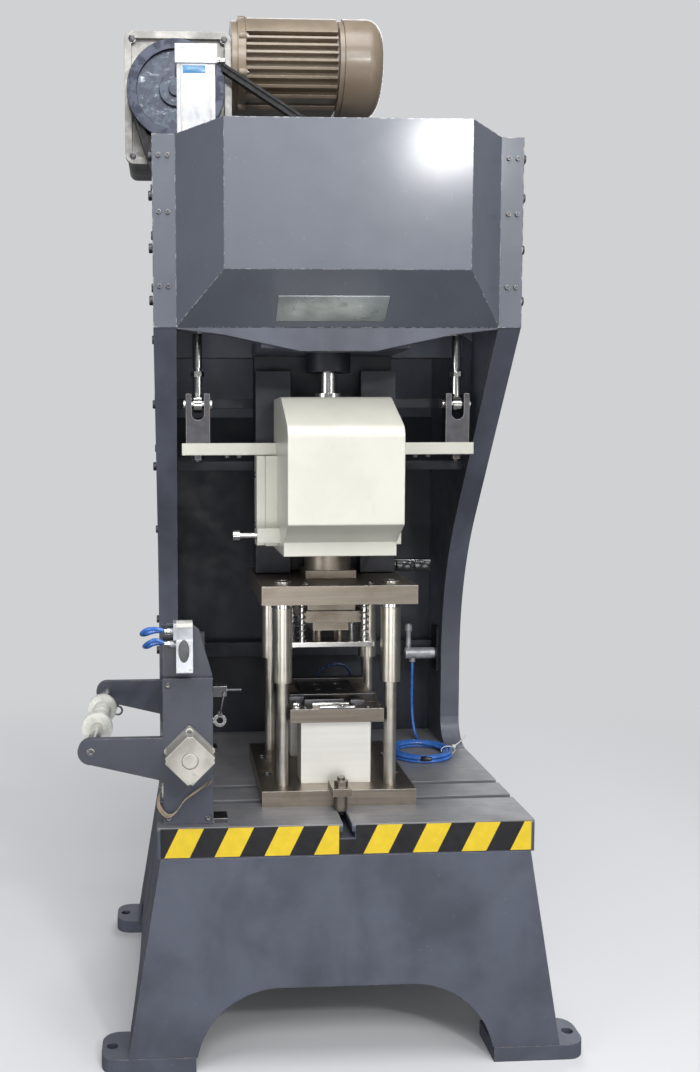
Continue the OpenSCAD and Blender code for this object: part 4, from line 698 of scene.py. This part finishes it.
def coil_path():
    """Two layers of turns: in along the bed, a climb, and out on top."""
    outer = COIL_R + COIL_PITCH * COIL_TURNS / 2
    inner = COIL_R - COIL_PITCH * COIL_TURNS / 2
    low = BED_Z + HOSE_D / 2 + 0.3 * MM
    legs = [(outer, inner, low, low, COIL_TURNS), (inner, inner, low, low + COIL_PITCH, 0.5),
            (inner, outer, low + COIL_PITCH, low + COIL_PITCH, COIL_TURNS)]
    angle = math.pi / 2
    path = []
    for r0, r1, z0, z1, turns in legs:
        steps = int(turns * 40)
        for i in range(steps):
            t = i / steps
            r = r0 + (r1 - r0) * t
            a = angle + FULL_TURN * turns * t
            path.append(COIL_CENTRE + Vector((r * math.cos(a), r * math.sin(a), z0 + (z1 - z0) * t)))
        angle += FULL_TURN * turns
    return path


def make_hose():
    """The hose and its coil as one cord, with the fitting on its end."""
    coil = coil_path()
    path = smooth_path([Vector(p) * MM for p in HOSE_ROUTE] + coil[:1], 6)[:-1] + coil
    data = bpy.data.curves.new("air_hose_tube", "CURVE")
    data.dimensions = "3D"
    data.bevel_depth = HOSE_D / 2
    data.bevel_resolution = 3
    data.use_fill_caps = True
    spline = data.splines.new("POLY")
    spline.points.add(len(path) - 1)
    for point, p in zip(spline.points, path):
        point.co = (*p, 1)
    spline.use_smooth = True
    data.materials.append(surface["tube"])
    hose = add_object("air_hose_tube", data)
    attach(hose, "frame")
    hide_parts("air_hose", "hose_coil")

    end = path[-1]
    ahead = (path[-1] - path[-2]).normalized()
    bm = bmesh.new()
    turned(bm, end - ahead * 4 * MM, ahead, [(3.6 * MM, 0), (4.6 * MM, 1.5 * MM), (4.6 * MM, 11 * MM),
                                             (3.4 * MM, 12 * MM), (3.4 * MM, 19 * MM), (2.2 * MM, 20 * MM)])
    fitting = finish_piece("hose_fitting", bm, "gloss_black", "frame")


def make_coil_tie():
    """A white tie round all turns of the coil, on its right, with its tail standing out."""
    bm = bmesh.new()
    at = COIL_CENTRE + Vector((COIL_R, 0, BED_Z + 7 * MM))
    half_w, half_h = 13 * MM, 7.6 * MM
    loop = [at + Vector((half_w * math.cos(t), 0, half_h * math.sin(t))) for t in angles(28) + [FULL_TURN]]
    sweep(bm, loop, 0.9 * MM, 8)
    block(bm, at + Vector((8, -3, 5)) * MM, at + Vector((14, 3, 10)) * MM, 0.6 * MM)
    tail = [at + Vector(p) * MM for p in ((12, 0, 8), (24, 10, 12), (38, 24, 18), (44, 32, 24))]
    sweep(bm, smooth_path(tail, 6), 1.1 * MM, 8)
    finish_piece("coil_tie", bm, "white", "frame")


# Pieces on the frame

TAPE_Z = (BED_Z - 47 * MM, BED_Z - 2 * MM)
TAPE_X = 285 * MM
STRIPE_PITCH = 76 * MM
STRIPE_W = 38.5 * MM
STRIPE_LEAN = 22 * MM
FIRST_STRIPE = -279.5 * MM
SLOT_HALF = 13 * MM
SLOT_FLOOR = 24 * MM
STRIPES = 8
BLACK_T = 0.25 * MM
YELLOW_T = 0.2 * MM


def clipped(points, x0, x1):
    """A polygon in X and Z cut to x0..x1."""
    for edge, keep in ((x0, 1), (x1, -1)):
        kept = []
        for a, b in zip(points, points[1:] + points[:1]):
            inside_a, inside_b = (a[0] - edge) * keep >= 0, (b[0] - edge) * keep >= 0
            if inside_a:
                kept.append(a)
            if inside_a != inside_b:
                t = (edge - a[0]) / (b[0] - a[0])
                kept.append((edge, a[1] + t * (b[1] - a[1])))
        points = kept
        if len(points) < 3:
            return []
    return points


def tape_face(bm, outline, y, thick):
    """A thin slab of tape with that outline, its back at y."""
    if len(outline) < 3:
        return
    skin(bm, [[(x, y, z) for x, z in outline], [(x, y - thick, z) for x, z in outline]])


def make_hazard_tape():
    """Black tape with slanting yellow stripes along the bed's front, cut round the T-slot."""
    low, high = TAPE_Z
    halves = ((-TAPE_X, -SLOT_HALF), (SLOT_HALF, TAPE_X))
    bm = bmesh.new()
    for x0, x1 in halves:
        tape_face(bm, [(x0, low), (x1, low), (x1, high), (x0, high)], BED_FRONT, BLACK_T)
    notch = BED_Z - SLOT_FLOOR
    tape_face(bm, [(-SLOT_HALF, low), (SLOT_HALF, low), (SLOT_HALF, notch), (-SLOT_HALF, notch)], BED_FRONT,
              BLACK_T)
    finish_piece("hazard_tape_black", bm, "black", "frame")
    bm = bmesh.new()
    for k in range(STRIPES):
        x = FIRST_STRIPE + STRIPE_PITCH * k
        stripe = [(x, low), (x + STRIPE_W, low), (x + STRIPE_W + STRIPE_LEAN, high), (x + STRIPE_LEAN, high)]
        for x0, x1 in halves:
            tape_face(bm, clipped(stripe, x0, x1), BED_FRONT - BLACK_T, YELLOW_T)
    finish_piece("hazard_tape_yellow", bm, "yellow", "frame")


SLOPE_TOP = Vector((0, -205, 1222)) * MM
SLOPE_FOOT = Vector((0, -113, 1147)) * MM
BARE_PLATE_SHIFT = Vector((-15, 14, -11.5)) * MM
BARE_PLATE_HALF = (85 * MM, 26 * MM)


def make_hood_plate():
    """The bare plate on the hood's slanting underside, with a rivet in each corner."""
    along = (SLOPE_FOOT - SLOPE_TOP).normalized()
    out = Vector((1, 0, 0)).cross(along)
    middle = (SLOPE_TOP + SLOPE_FOOT) / 2 + BARE_PLATE_SHIFT
    place = Matrix((Vector((1, 0, 0)), along, out)).transposed().to_4x4()
    place = Matrix.Translation(middle) @ place
    half_w, half_h = BARE_PLATE_HALF
    bm = bmesh.new()
    block(bm, (-half_w, -half_h, -1.4 * MM), (half_w, half_h, 0.9 * MM), 0.4 * MM, place)
    for x in (-1, 1):
        for y in (-1, 1):
            at = place @ Vector((x * (half_w - 5 * MM), y * (half_h - 5 * MM), 0.5 * MM))
            turned(bm, at, out, [(1.8 * MM, 0), (1.6 * MM, 1.0 * MM), (0.8 * MM, 1.5 * MM)], 16)
    finish_piece("hood_bare_plate", bm, "bare", "frame")


# Rows of cap screws in the side plates, in metres: depth, and heights above the floor
SIDE_SCREWS = ((-0.1005, (1.19, 1.27, 1.35, 1.41)), (0.1075, (1.15, 1.24, 1.33, 1.41)),
               (0.3275, (1.06, 1.20, 1.34)), (0.102, (0.928, 1.037)), (0.282, (0.564,)),
               (0.318, (0.45, 0.62, 0.80, 0.96)))


def make_frame_screws():
    """Cap screws that hold the apron, walls and ties between the side plates."""
    bm = bmesh.new()
    for side in (-1, 1):
        for y, heights in SIDE_SCREWS:
            for z in heights:
                cap_screw(bm, Vector((side * FRAME_SIDE, y, z)), (side, 0, 0), 7.5 * MM, 6 * MM)
    finish_piece("frame_cap_screws", bm, "dark", "frame")


GUARD_X = (-262 * MM, -90 * MM, 90 * MM, 262 * MM)
GUARD_RIM = 14 * MM
GUARD_SIDE_Z = (1220 * MM, 1350 * MM, 1440 * MM)


def make_guard_screws():
    """Cap screws along the rim of the rear guard."""
    low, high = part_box("rear_guard")
    places = [(x, z) for x in GUARD_X for z in (low.z + GUARD_RIM, high.z - GUARD_RIM)]
    places += [(x, z) for z in GUARD_SIDE_Z for x in (GUARD_X[0], GUARD_X[-1])]
    bm = bmesh.new()
    for x, z in places:
        cap_screw(bm, Vector((x, high.y, z)), (0, 1, 0), 5.5 * MM, 4 * MM)
    finish_piece("guard_screws", bm, "dark", "frame")


SWITCH_RAIL_X = (126 * MM, 194 * MM)
SWITCH_RAIL_Z = (741 * MM, 763 * MM)
SWITCH_X = (131 * MM, 163 * MM)
SWITCH_W = 26 * MM
SWITCH_IN = 4 * MM


def make_switch_rail():
    """The glossy rail with its two small switches under the slide wall."""
    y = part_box("slide_wall")[0].y
    bm = bmesh.new()
    left, right = SWITCH_RAIL_X
    foot, top = SWITCH_RAIL_Z
    block(bm, (left, y - 1 * MM, foot), (right, y + 20 * MM, top), 2.5 * MM)
    for x in SWITCH_X:
        block(bm, (x, y - 9 * MM, foot + SWITCH_IN), (x + SWITCH_W, y - 0.5 * MM, top - SWITCH_IN), 1.2 * MM)
    finish_piece("switch_rail", bm, "gloss_black", "frame")


SHIELD_BOLTS = 8
SHIELD_BOLT_R = 91 * MM
SHIELD_X = 14 * MM


def make_drive_trim():
    """Small pieces of the drive: gearbox bolts, oil sight, and the lugs and bolts of the motor's shield."""
    low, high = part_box("gearbox_case")
    rim = 15 * MM
    bm = bmesh.new()
    for x in (low.x + rim, high.x - rim):
        for z in (low.z + rim, high.z - rim):
            hex_bolt(bm, Vector((x, low.y + 2 * MM, z)), (0, -1, 0), 6 * MM, 4 * MM)
            hex_bolt(bm, Vector((x, high.y - 1 * MM, z)), (0, 1, 0), 6 * MM, 5 * MM)
    finish_piece("gearbox_bolts", bm, "dark", "frame")
    bm = bmesh.new()
    turned(bm, low + Vector((3, 70, 120)) * MM, (-1, 0, 0),
           [(12 * MM, 0), (12 * MM, 1.5 * MM), (9 * MM, 3 * MM), (4 * MM, 2 * MM)])
    finish_piece("oil_sight", bm, "bronze", "frame")
    low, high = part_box("fan_cowl")
    middle = (low + high) / 2
    middle.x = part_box("motor_frame")[0].x
    lugs, heads = bmesh.new(), bmesh.new()
    for k in range(SHIELD_BOLTS):
        a = FULL_TURN * (k + 0.5) / SHIELD_BOLTS
        at = middle + Vector((SHIELD_X, SHIELD_BOLT_R * math.cos(a), SHIELD_BOLT_R * math.sin(a)))
        turned(lugs, at, (1, 0, 0), [(8.5 * MM, 0), (8.5 * MM, 14 * MM), (7.5 * MM, 15.5 * MM)], 24)
        hex_bolt(heads, at + Vector((15 * MM, 0, 0)), (1, 0, 0), 5 * MM, 5 * MM)
    finish_piece("shield_lugs", lugs, "motor", "frame")
    finish_piece("shield_bolts", heads, "bright", "frame")


CYLINDER_X = 219 * MM
CYLINDER_CAP = 68 * MM
RIGHT_CYLINDER_TOP = 1418 * MM
BAND_DROP = (33 * MM, 45 * MM)
RIB_DROP = (26 * MM, 160 * MM)
RIB_X = 23.5 * MM


def make_cylinder_trim():
    """Tie bolts, air ports, ribs and the plain blue band of the balance cylinders."""
    low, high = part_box("balance_cylinders")
    y_mid = (low.y + high.y) / 2
    x_mid = CYLINDER_X
    tops = ((-x_mid, high.z), (x_mid, RIGHT_CYLINDER_TOP))
    bm = bmesh.new()
    for x, z in tops:
        corner_screws(bm, (x, y_mid, z - 1.5 * MM), 25 * MM, 25 * MM, 5 * MM, 3.5 * MM)
    finish_piece("cylinder_bolts", bm, "dark", "frame")
    bm = bmesh.new()
    for x, z in tops:
        inward = 1 if x < 0 else -1
        turned(bm, Vector((x + inward * CYLINDER_CAP / 2, y_mid, z - 15 * MM)), (inward, 0, 0),
               [(7 * MM, -1 * MM), (7 * MM, 5 * MM), (5.5 * MM, 6 * MM), (5.5 * MM, 14 * MM),
                (4 * MM, 15 * MM)], 24)
    finish_piece("cylinder_ports", bm, "bright", "frame")
    bm = bmesh.new()
    front = low.y + 3 * MM
    block(bm, (-x_mid - 21 * MM, front - 0.5 * MM, high.z - BAND_DROP[1]),
          (-x_mid + 15 * MM, front + 0.6 * MM, high.z - BAND_DROP[0]), 0.25 * MM)
    finish_piece("cylinder_band", bm, "band", "frame")
    bm = bmesh.new()
    for x in (-x_mid - RIB_X, -x_mid + RIB_X):
        block(bm, (x - 1.2 * MM, front - 0.8 * MM, high.z - RIB_DROP[1]),
              (x + 1.2 * MM, front + 0.6 * MM, high.z - RIB_DROP[0]), 0.3 * MM)
    finish_piece("cylinder_ribs", bm, "stepper", "frame")


# Pieces on the feeder

STEPPER_X, STEPPER_Z = -240 * MM, 503 * MM
VALVE_X = -246.5 * MM
OVAL_HALF_W, OVAL_HALF_H = 8.2 * MM, 17 * MM
TUBE_ZS = (687, 668)
WIRES = 5
FEEDER_FRONT = -206.5
FEEDER_SCREWS = ((-389, 503), (-212, 398), (-272, 398), (-272, 604))


def make_stepper_lead():
    """Five thin wires side by side, from the motor's rear cap to behind the plate's left edge."""
    route = [(-210, -238, 462), (-215.5, -222, 455), (-228, -214, 443), (-248, -213, 428), (-261, -213, 410),
             (-272, -213, 404), (-282, -211, 410), (-288, -204, 420), (-287, -190, 430), (-283, -182, 434)]
    for k in range(WIRES):
        shift = Vector((0.75, 0, 1.1)) * (k - (WIRES - 1) / 2) * MM
        points = [Vector(p) * MM + shift for p in route]
        wire_piece(f"stepper_wire_{k + 1}", points, 0.65 * MM, "wire" if k % 2 else "wire_pale", "frame",
                   6, 8)
    bm = bmesh.new()
    block(bm, Vector((-283, -188, 424)) * MM, Vector((-275, -176, 444)) * MM, 0.8 * MM)
    finish_piece("wire_plug", bm, "white", "frame")


def make_stepper_trim():
    """The motor's soft centre ring and the small silver ear over its top corner."""
    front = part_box("stepper_motor")[0].y
    bm = bmesh.new()
    turned(bm, Vector((STEPPER_X, front + 2.6 * MM, STEPPER_Z)), (0, -1, 0),
           [(12.5 * MM, 0), (12.5 * MM, 0.9 * MM), (11.6 * MM, 1.5 * MM), (9.4 * MM, 1.5 * MM),
            (8.8 * MM, 0.9 * MM)], 40)
    finish_piece("stepper_ring", bm, "boss", "frame")
    bm = bmesh.new()
    ear = Vector((STEPPER_X, front + 46 * MM, STEPPER_Z + 33.3 * MM))
    turned(bm, ear, (0, -1, 0), [(6.5 * MM, 0), (6.5 * MM, 7 * MM), (5.5 * MM, 8 * MM)], 24)
    block(bm, ear + Vector((-6, -1, -10)) * MM, ear + Vector((6, 8, 0)) * MM, 1 * MM)
    finish_piece("stepper_ear", bm, "stepper", "frame")
    bm = bmesh.new()
    cap_screw(bm, ear - Vector((0, 8 * MM, 0)), (0, -1, 0), 3.6 * MM, 2 * MM, 18)
    for x, z in FEEDER_SCREWS:
        cap_screw(bm, Vector((x, FEEDER_FRONT, z)) * MM, (0, -1, 0), 4.5 * MM, 2.5 * MM, 20)
    finish_piece("feeder_screws", bm, "dark", "frame")


def make_valve_trim():
    """The valve's grey oval button plate, and its end cap with four screws."""
    low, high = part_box("solenoid_valve")
    middle = Vector((VALVE_X - 1 * MM, low.y, low.z + 33 * MM))
    bm = bmesh.new()
    rings = []
    for grow, y in ((1.0, 0.5), (1.0, -0.8), (0.88, -1.3)):
        rings.append([middle + Vector((OVAL_HALF_W * grow * math.cos(t), y * MM,
                                       OVAL_HALF_H * grow * math.sin(t))) for t in angles(36)])
    skin(bm, rings)
    finish_piece("valve_button_plate", bm, "grey", "frame")
    bm = bmesh.new()
    block(bm, (VALVE_X - 12.4 * MM, low.y - 0.6 * MM, high.z - 6 * MM),
          (VALVE_X + 12.4 * MM, low.y + 30 * MM, high.z + 0.4 * MM), 1 * MM)
    for dx, dz in ((-8, 5), (8, 5), (-8, 44), (8, 44)):
        at = Vector((VALVE_X + dx * MM, low.y + 0.4 * MM, low.z + dz * MM))
        cap_screw(bm, at, (0, -1, 0), 2 * MM, 1.2 * MM, 18)
    finish_piece("valve_cap", bm, "white", "frame")


def make_valve_tubes():
    """Two blue tubes, from the valve's fittings round the plate's left edge to a block behind it."""
    for k, z in enumerate(TUBE_ZS):
        inward = 4 * k
        route = [(-262, -212, z), (-272, -212, z), (-288, -212, z + 4 + 2 * k), (-303 + inward, -207, z + 2),
                 (-311 + inward, -196, z - 6), (-306 + inward, -185, z - 9), (-292, -179, z - 6),
                 (-270, -178, z - 4)]
        wire_piece(f"valve_tube_{k + 1}", [Vector(p) * MM for p in route], 3 * MM, "tube", "frame",
                   8, 12)
    bm = bmesh.new()
    block(bm, Vector((-274, -188.5, 656)) * MM, Vector((-250, -170, 692)) * MM, 1 * MM)
    finish_piece("tube_block", bm, "silver", "frame")
    bm = bmesh.new()
    for z in TUBE_ZS:
        for y, x, dz in ((-212, -269, 0), (-178, -273, -4)):
            turned(bm, Vector((x, y, z + dz)) * MM, (-1, 0, 0),
                   [(5.6 * MM, -1 * MM), (5.6 * MM, 3 * MM), (4.6 * MM, 4 * MM), (4.6 * MM, 7 * MM),
                    (3.6 * MM, 8 * MM)], 24)
    finish_piece("tube_collars", bm, "bright", "frame")


def make_lever_link():
    """The short link that hangs from the bracket's pin to the release lever, and an eye on the rear arm."""
    points = [(-186, -196, 586), (-189, -197, 575), (-191, -197, 563), (-193, -195, 556)]
    bm = bmesh.new()
    sweep(bm, smooth_path([Vector(p) * MM for p in points], 6), 1.6 * MM, 10)
    for at in (points[0], points[-1]):
        turned(bm, Vector(at) * MM + Vector((0, 2.5 * MM, 0)), (0, -1, 0),
               [(4 * MM, 0), (4 * MM, 3 * MM), (3 * MM, 4 * MM)], 20)
    finish_piece("lever_link", bm, "dark", "frame")
    bm = bmesh.new()
    middle = Vector((-369, 196, 466)) * MM
    eye = [middle + 8 * MM * Vector((-math.sin(t), 0, math.cos(t))) for t in angles(24) + [FULL_TURN]]
    sweep(bm, eye, 1.8 * MM, 10)
    turned(bm, middle + Vector((0, 0, 7 * MM)), (0, 0, 1), [(2.2 * MM, 0), (2.2 * MM, 16 * MM)], 16)
    finish_piece("arm_eye", bm, "dark", "frame")


def make_tube_arch():
    """A blue air tube that stands in an arch behind the die, with a fitting at either foot."""
    route = [(-8, 152, 396), (-8, 152, 430), (-8, 152, 480), (-5, 152, 515), (8, 152, 544), (34, 152, 557),
             (58, 152, 553), (71, 152, 525), (75, 152, 480), (76, 152, 430), (76, 152, 396)]
    points = [Vector(p) * MM for p in route]
    wire_piece("die_air_tube", points, 3 * MM, "tube_shaded", "frame", 8, 12)
    bm = bmesh.new()
    for foot in (points[0], points[-1]):
        turned(bm, Vector((foot.x, foot.y, BED_Z - 0.5 * MM)), (0, 0, 1),
               [(8 * MM, 0), (8 * MM, 5 * MM), (6 * MM, 6 * MM), (6 * MM, 14 * MM), (4 * MM, 15 * MM)], 24)
    finish_piece("bed_fittings", bm, "bright", "frame")


# Pieces on the tool and the ram

STRIPPER_T = 8 * MM
SPRING_TURNS = 7
SPRING_R = 6.4 * MM
SPRING_WIRE = 1.1 * MM


def make_springs():
    """Springs round the stripper's bolts, pressed between stripper and upper shoe."""
    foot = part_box("stripper_plate")[0].z + STRIPPER_T + 0.3 * MM
    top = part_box("upper_shoe")[0].z - 0.3 * MM
    steps = SPRING_TURNS * 20
    for n, (x, y) in enumerate(((-52, -66), (52, -66), (-52, 66), (52, 66))):
        line = []
        for i in range(steps + 1):
            a = FULL_TURN * SPRING_TURNS * i / steps
            z = foot + SPRING_WIRE + (top - foot - 2 * SPRING_WIRE) * i / steps
            line.append(Vector((x * MM + SPRING_R * math.cos(a), y * MM + SPRING_R * math.sin(a), z)))
        bm = bmesh.new()
        sweep(bm, line, SPRING_WIRE, 8)
        spring = finish_piece(f"stripper_spring_{n + 1}", bm, "bright", "ram")
        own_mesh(spring)


def make_die_screws():
    """Cap screws sunk in the shoes and the die plate."""
    bm = bmesh.new()
    corner_screws(bm, (0, 0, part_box("upper_shoe")[1].z), 52 * MM, 118 * MM, 7 * MM, 2.5 * MM)
    finish_piece("upper_shoe_screws", bm, "dark", "ram")
    bm = bmesh.new()
    plate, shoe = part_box("die_plate")[1].z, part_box("lower_shoe")[1].z
    corner_screws(bm, (0, 0, plate - 0.5 * MM), 51 * MM, 108.5 * MM, 5 * MM, 2.5 * MM)
    corner_screws(bm, (0, 0, shoe - 0.5 * MM), 108 * MM, 50 * MM, 7 * MM, 3 * MM)
    finish_piece("die_screws", bm, "dark", "frame")


# Bars and stops on the die's front, in mm: X range, Y range, rise above the plate, and tone
DIE_BARS = (((-29, 29), (-115.5, -109), 5, "bright"), ((-39, 21), (-104, -98), 8, "bright"),
            ((-69, -61), (-113, -107), 5, "bright"), ((-70, -60), (-103, -97), 8, "bright"),
            ((-50, 14), (-94, -89), 11, "dark"), ((24, 46), (-101, -88), 11, "dark"),
            ((-74, -50), (-80, -76), 13, "dark"))


def make_die_bars():
    """Small gauge bars and stops on the front of the die plate."""
    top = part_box("die_plate")[1].z
    for tone in ("bright", "dark"):
        bm = bmesh.new()
        for x, y, rise, bar_tone in DIE_BARS:
            if bar_tone == tone:
                low = Vector((x[0] * MM, y[0] * MM, top - 0.5 * MM))
                block(bm, low, (x[1] * MM, y[1] * MM, top + rise * MM), 0.8 * MM)
        finish_piece(f"die_bars_{tone}", bm, tone, "frame")


def make_bush_flanges():
    """Retaining rings at the head of each guide bush."""
    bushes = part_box("guide_bushes")
    bm = bmesh.new()
    for x, y in POST_PLACES:
        turned(bm, Vector((x, y, bushes[1].z - 9 * MM)), (0, 0, 1),
               [(16.05 * MM, 0), (17.6 * MM, 0.6 * MM), (17.6 * MM, 8 * MM), (17 * MM, 8.8 * MM)], 40)
    finish_piece("bush_flanges", bm, "bright", "ram")


def make_bush_collars():
    """Low collars on the upper shoe, round the holes that the guide posts come up through."""
    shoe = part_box("upper_shoe")
    bm = bmesh.new()
    for x, y in POST_PLACES:
        collar(bm, Vector((x, y, shoe[1].z - 0.3 * MM)), 10.6 * MM, 13.5 * MM, 4.5 * MM)
    finish_piece("bush_collars", bm, "bright", "ram")


BAR_BOLT_X = (-170 * MM, -150 * MM, 150 * MM, 172 * MM)
BAR_BOLT_Y = 6 * MM
CHEEK_X = 122 * MM
CHEEK_SCREW_Z = (830 * MM, 915 * MM)


def make_ram_trim():
    """Bolts under the cross bar and the screws of the cheeks."""
    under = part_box("ram_bar")[0].z
    bm = bmesh.new()
    for x in BAR_BOLT_X:
        hex_bolt(bm, Vector((x, BAR_BOLT_Y, under)), (0, 0, -1), 4.5 * MM, 5 * MM)
    for x in (-CYLINDER_X, CYLINDER_X):
        turned(bm, Vector((x, BAR_BOLT_Y, under - 8 * MM)), (0, 0, -1),
               [(5 * MM, -1 * MM), (5 * MM, 3 * MM), (3.8 * MM, 4.5 * MM)], 20)
    finish_piece("bar_bolts", bm, "dark", "ram")
    bm = bmesh.new()
    for side in (-1, 1):
        for z in CHEEK_SCREW_Z:
            cap_screw(bm, Vector((side * CHEEK_X, 2 * MM, z)), (side, 0, 0), 5 * MM, 2 * MM)
    finish_piece("cheek_screws", bm, "dark", "ram")


make_camera()
dress_nodes()
make_hose()
make_coil_tie()
make_floor()
make_light()
make_hazard_tape()
make_hood_plate()
make_frame_screws()
make_guard_screws()
make_switch_rail()
make_drive_trim()
make_cylinder_trim()
make_stepper_lead()
make_stepper_trim()
make_valve_trim()
make_valve_tubes()
make_lever_link()
make_tube_arch()
make_springs()
make_die_screws()
make_die_bars()
make_bush_flanges()
make_bush_collars()
make_ram_trim()

bpy.context.scene.view_settings.view_transform = "Standard"
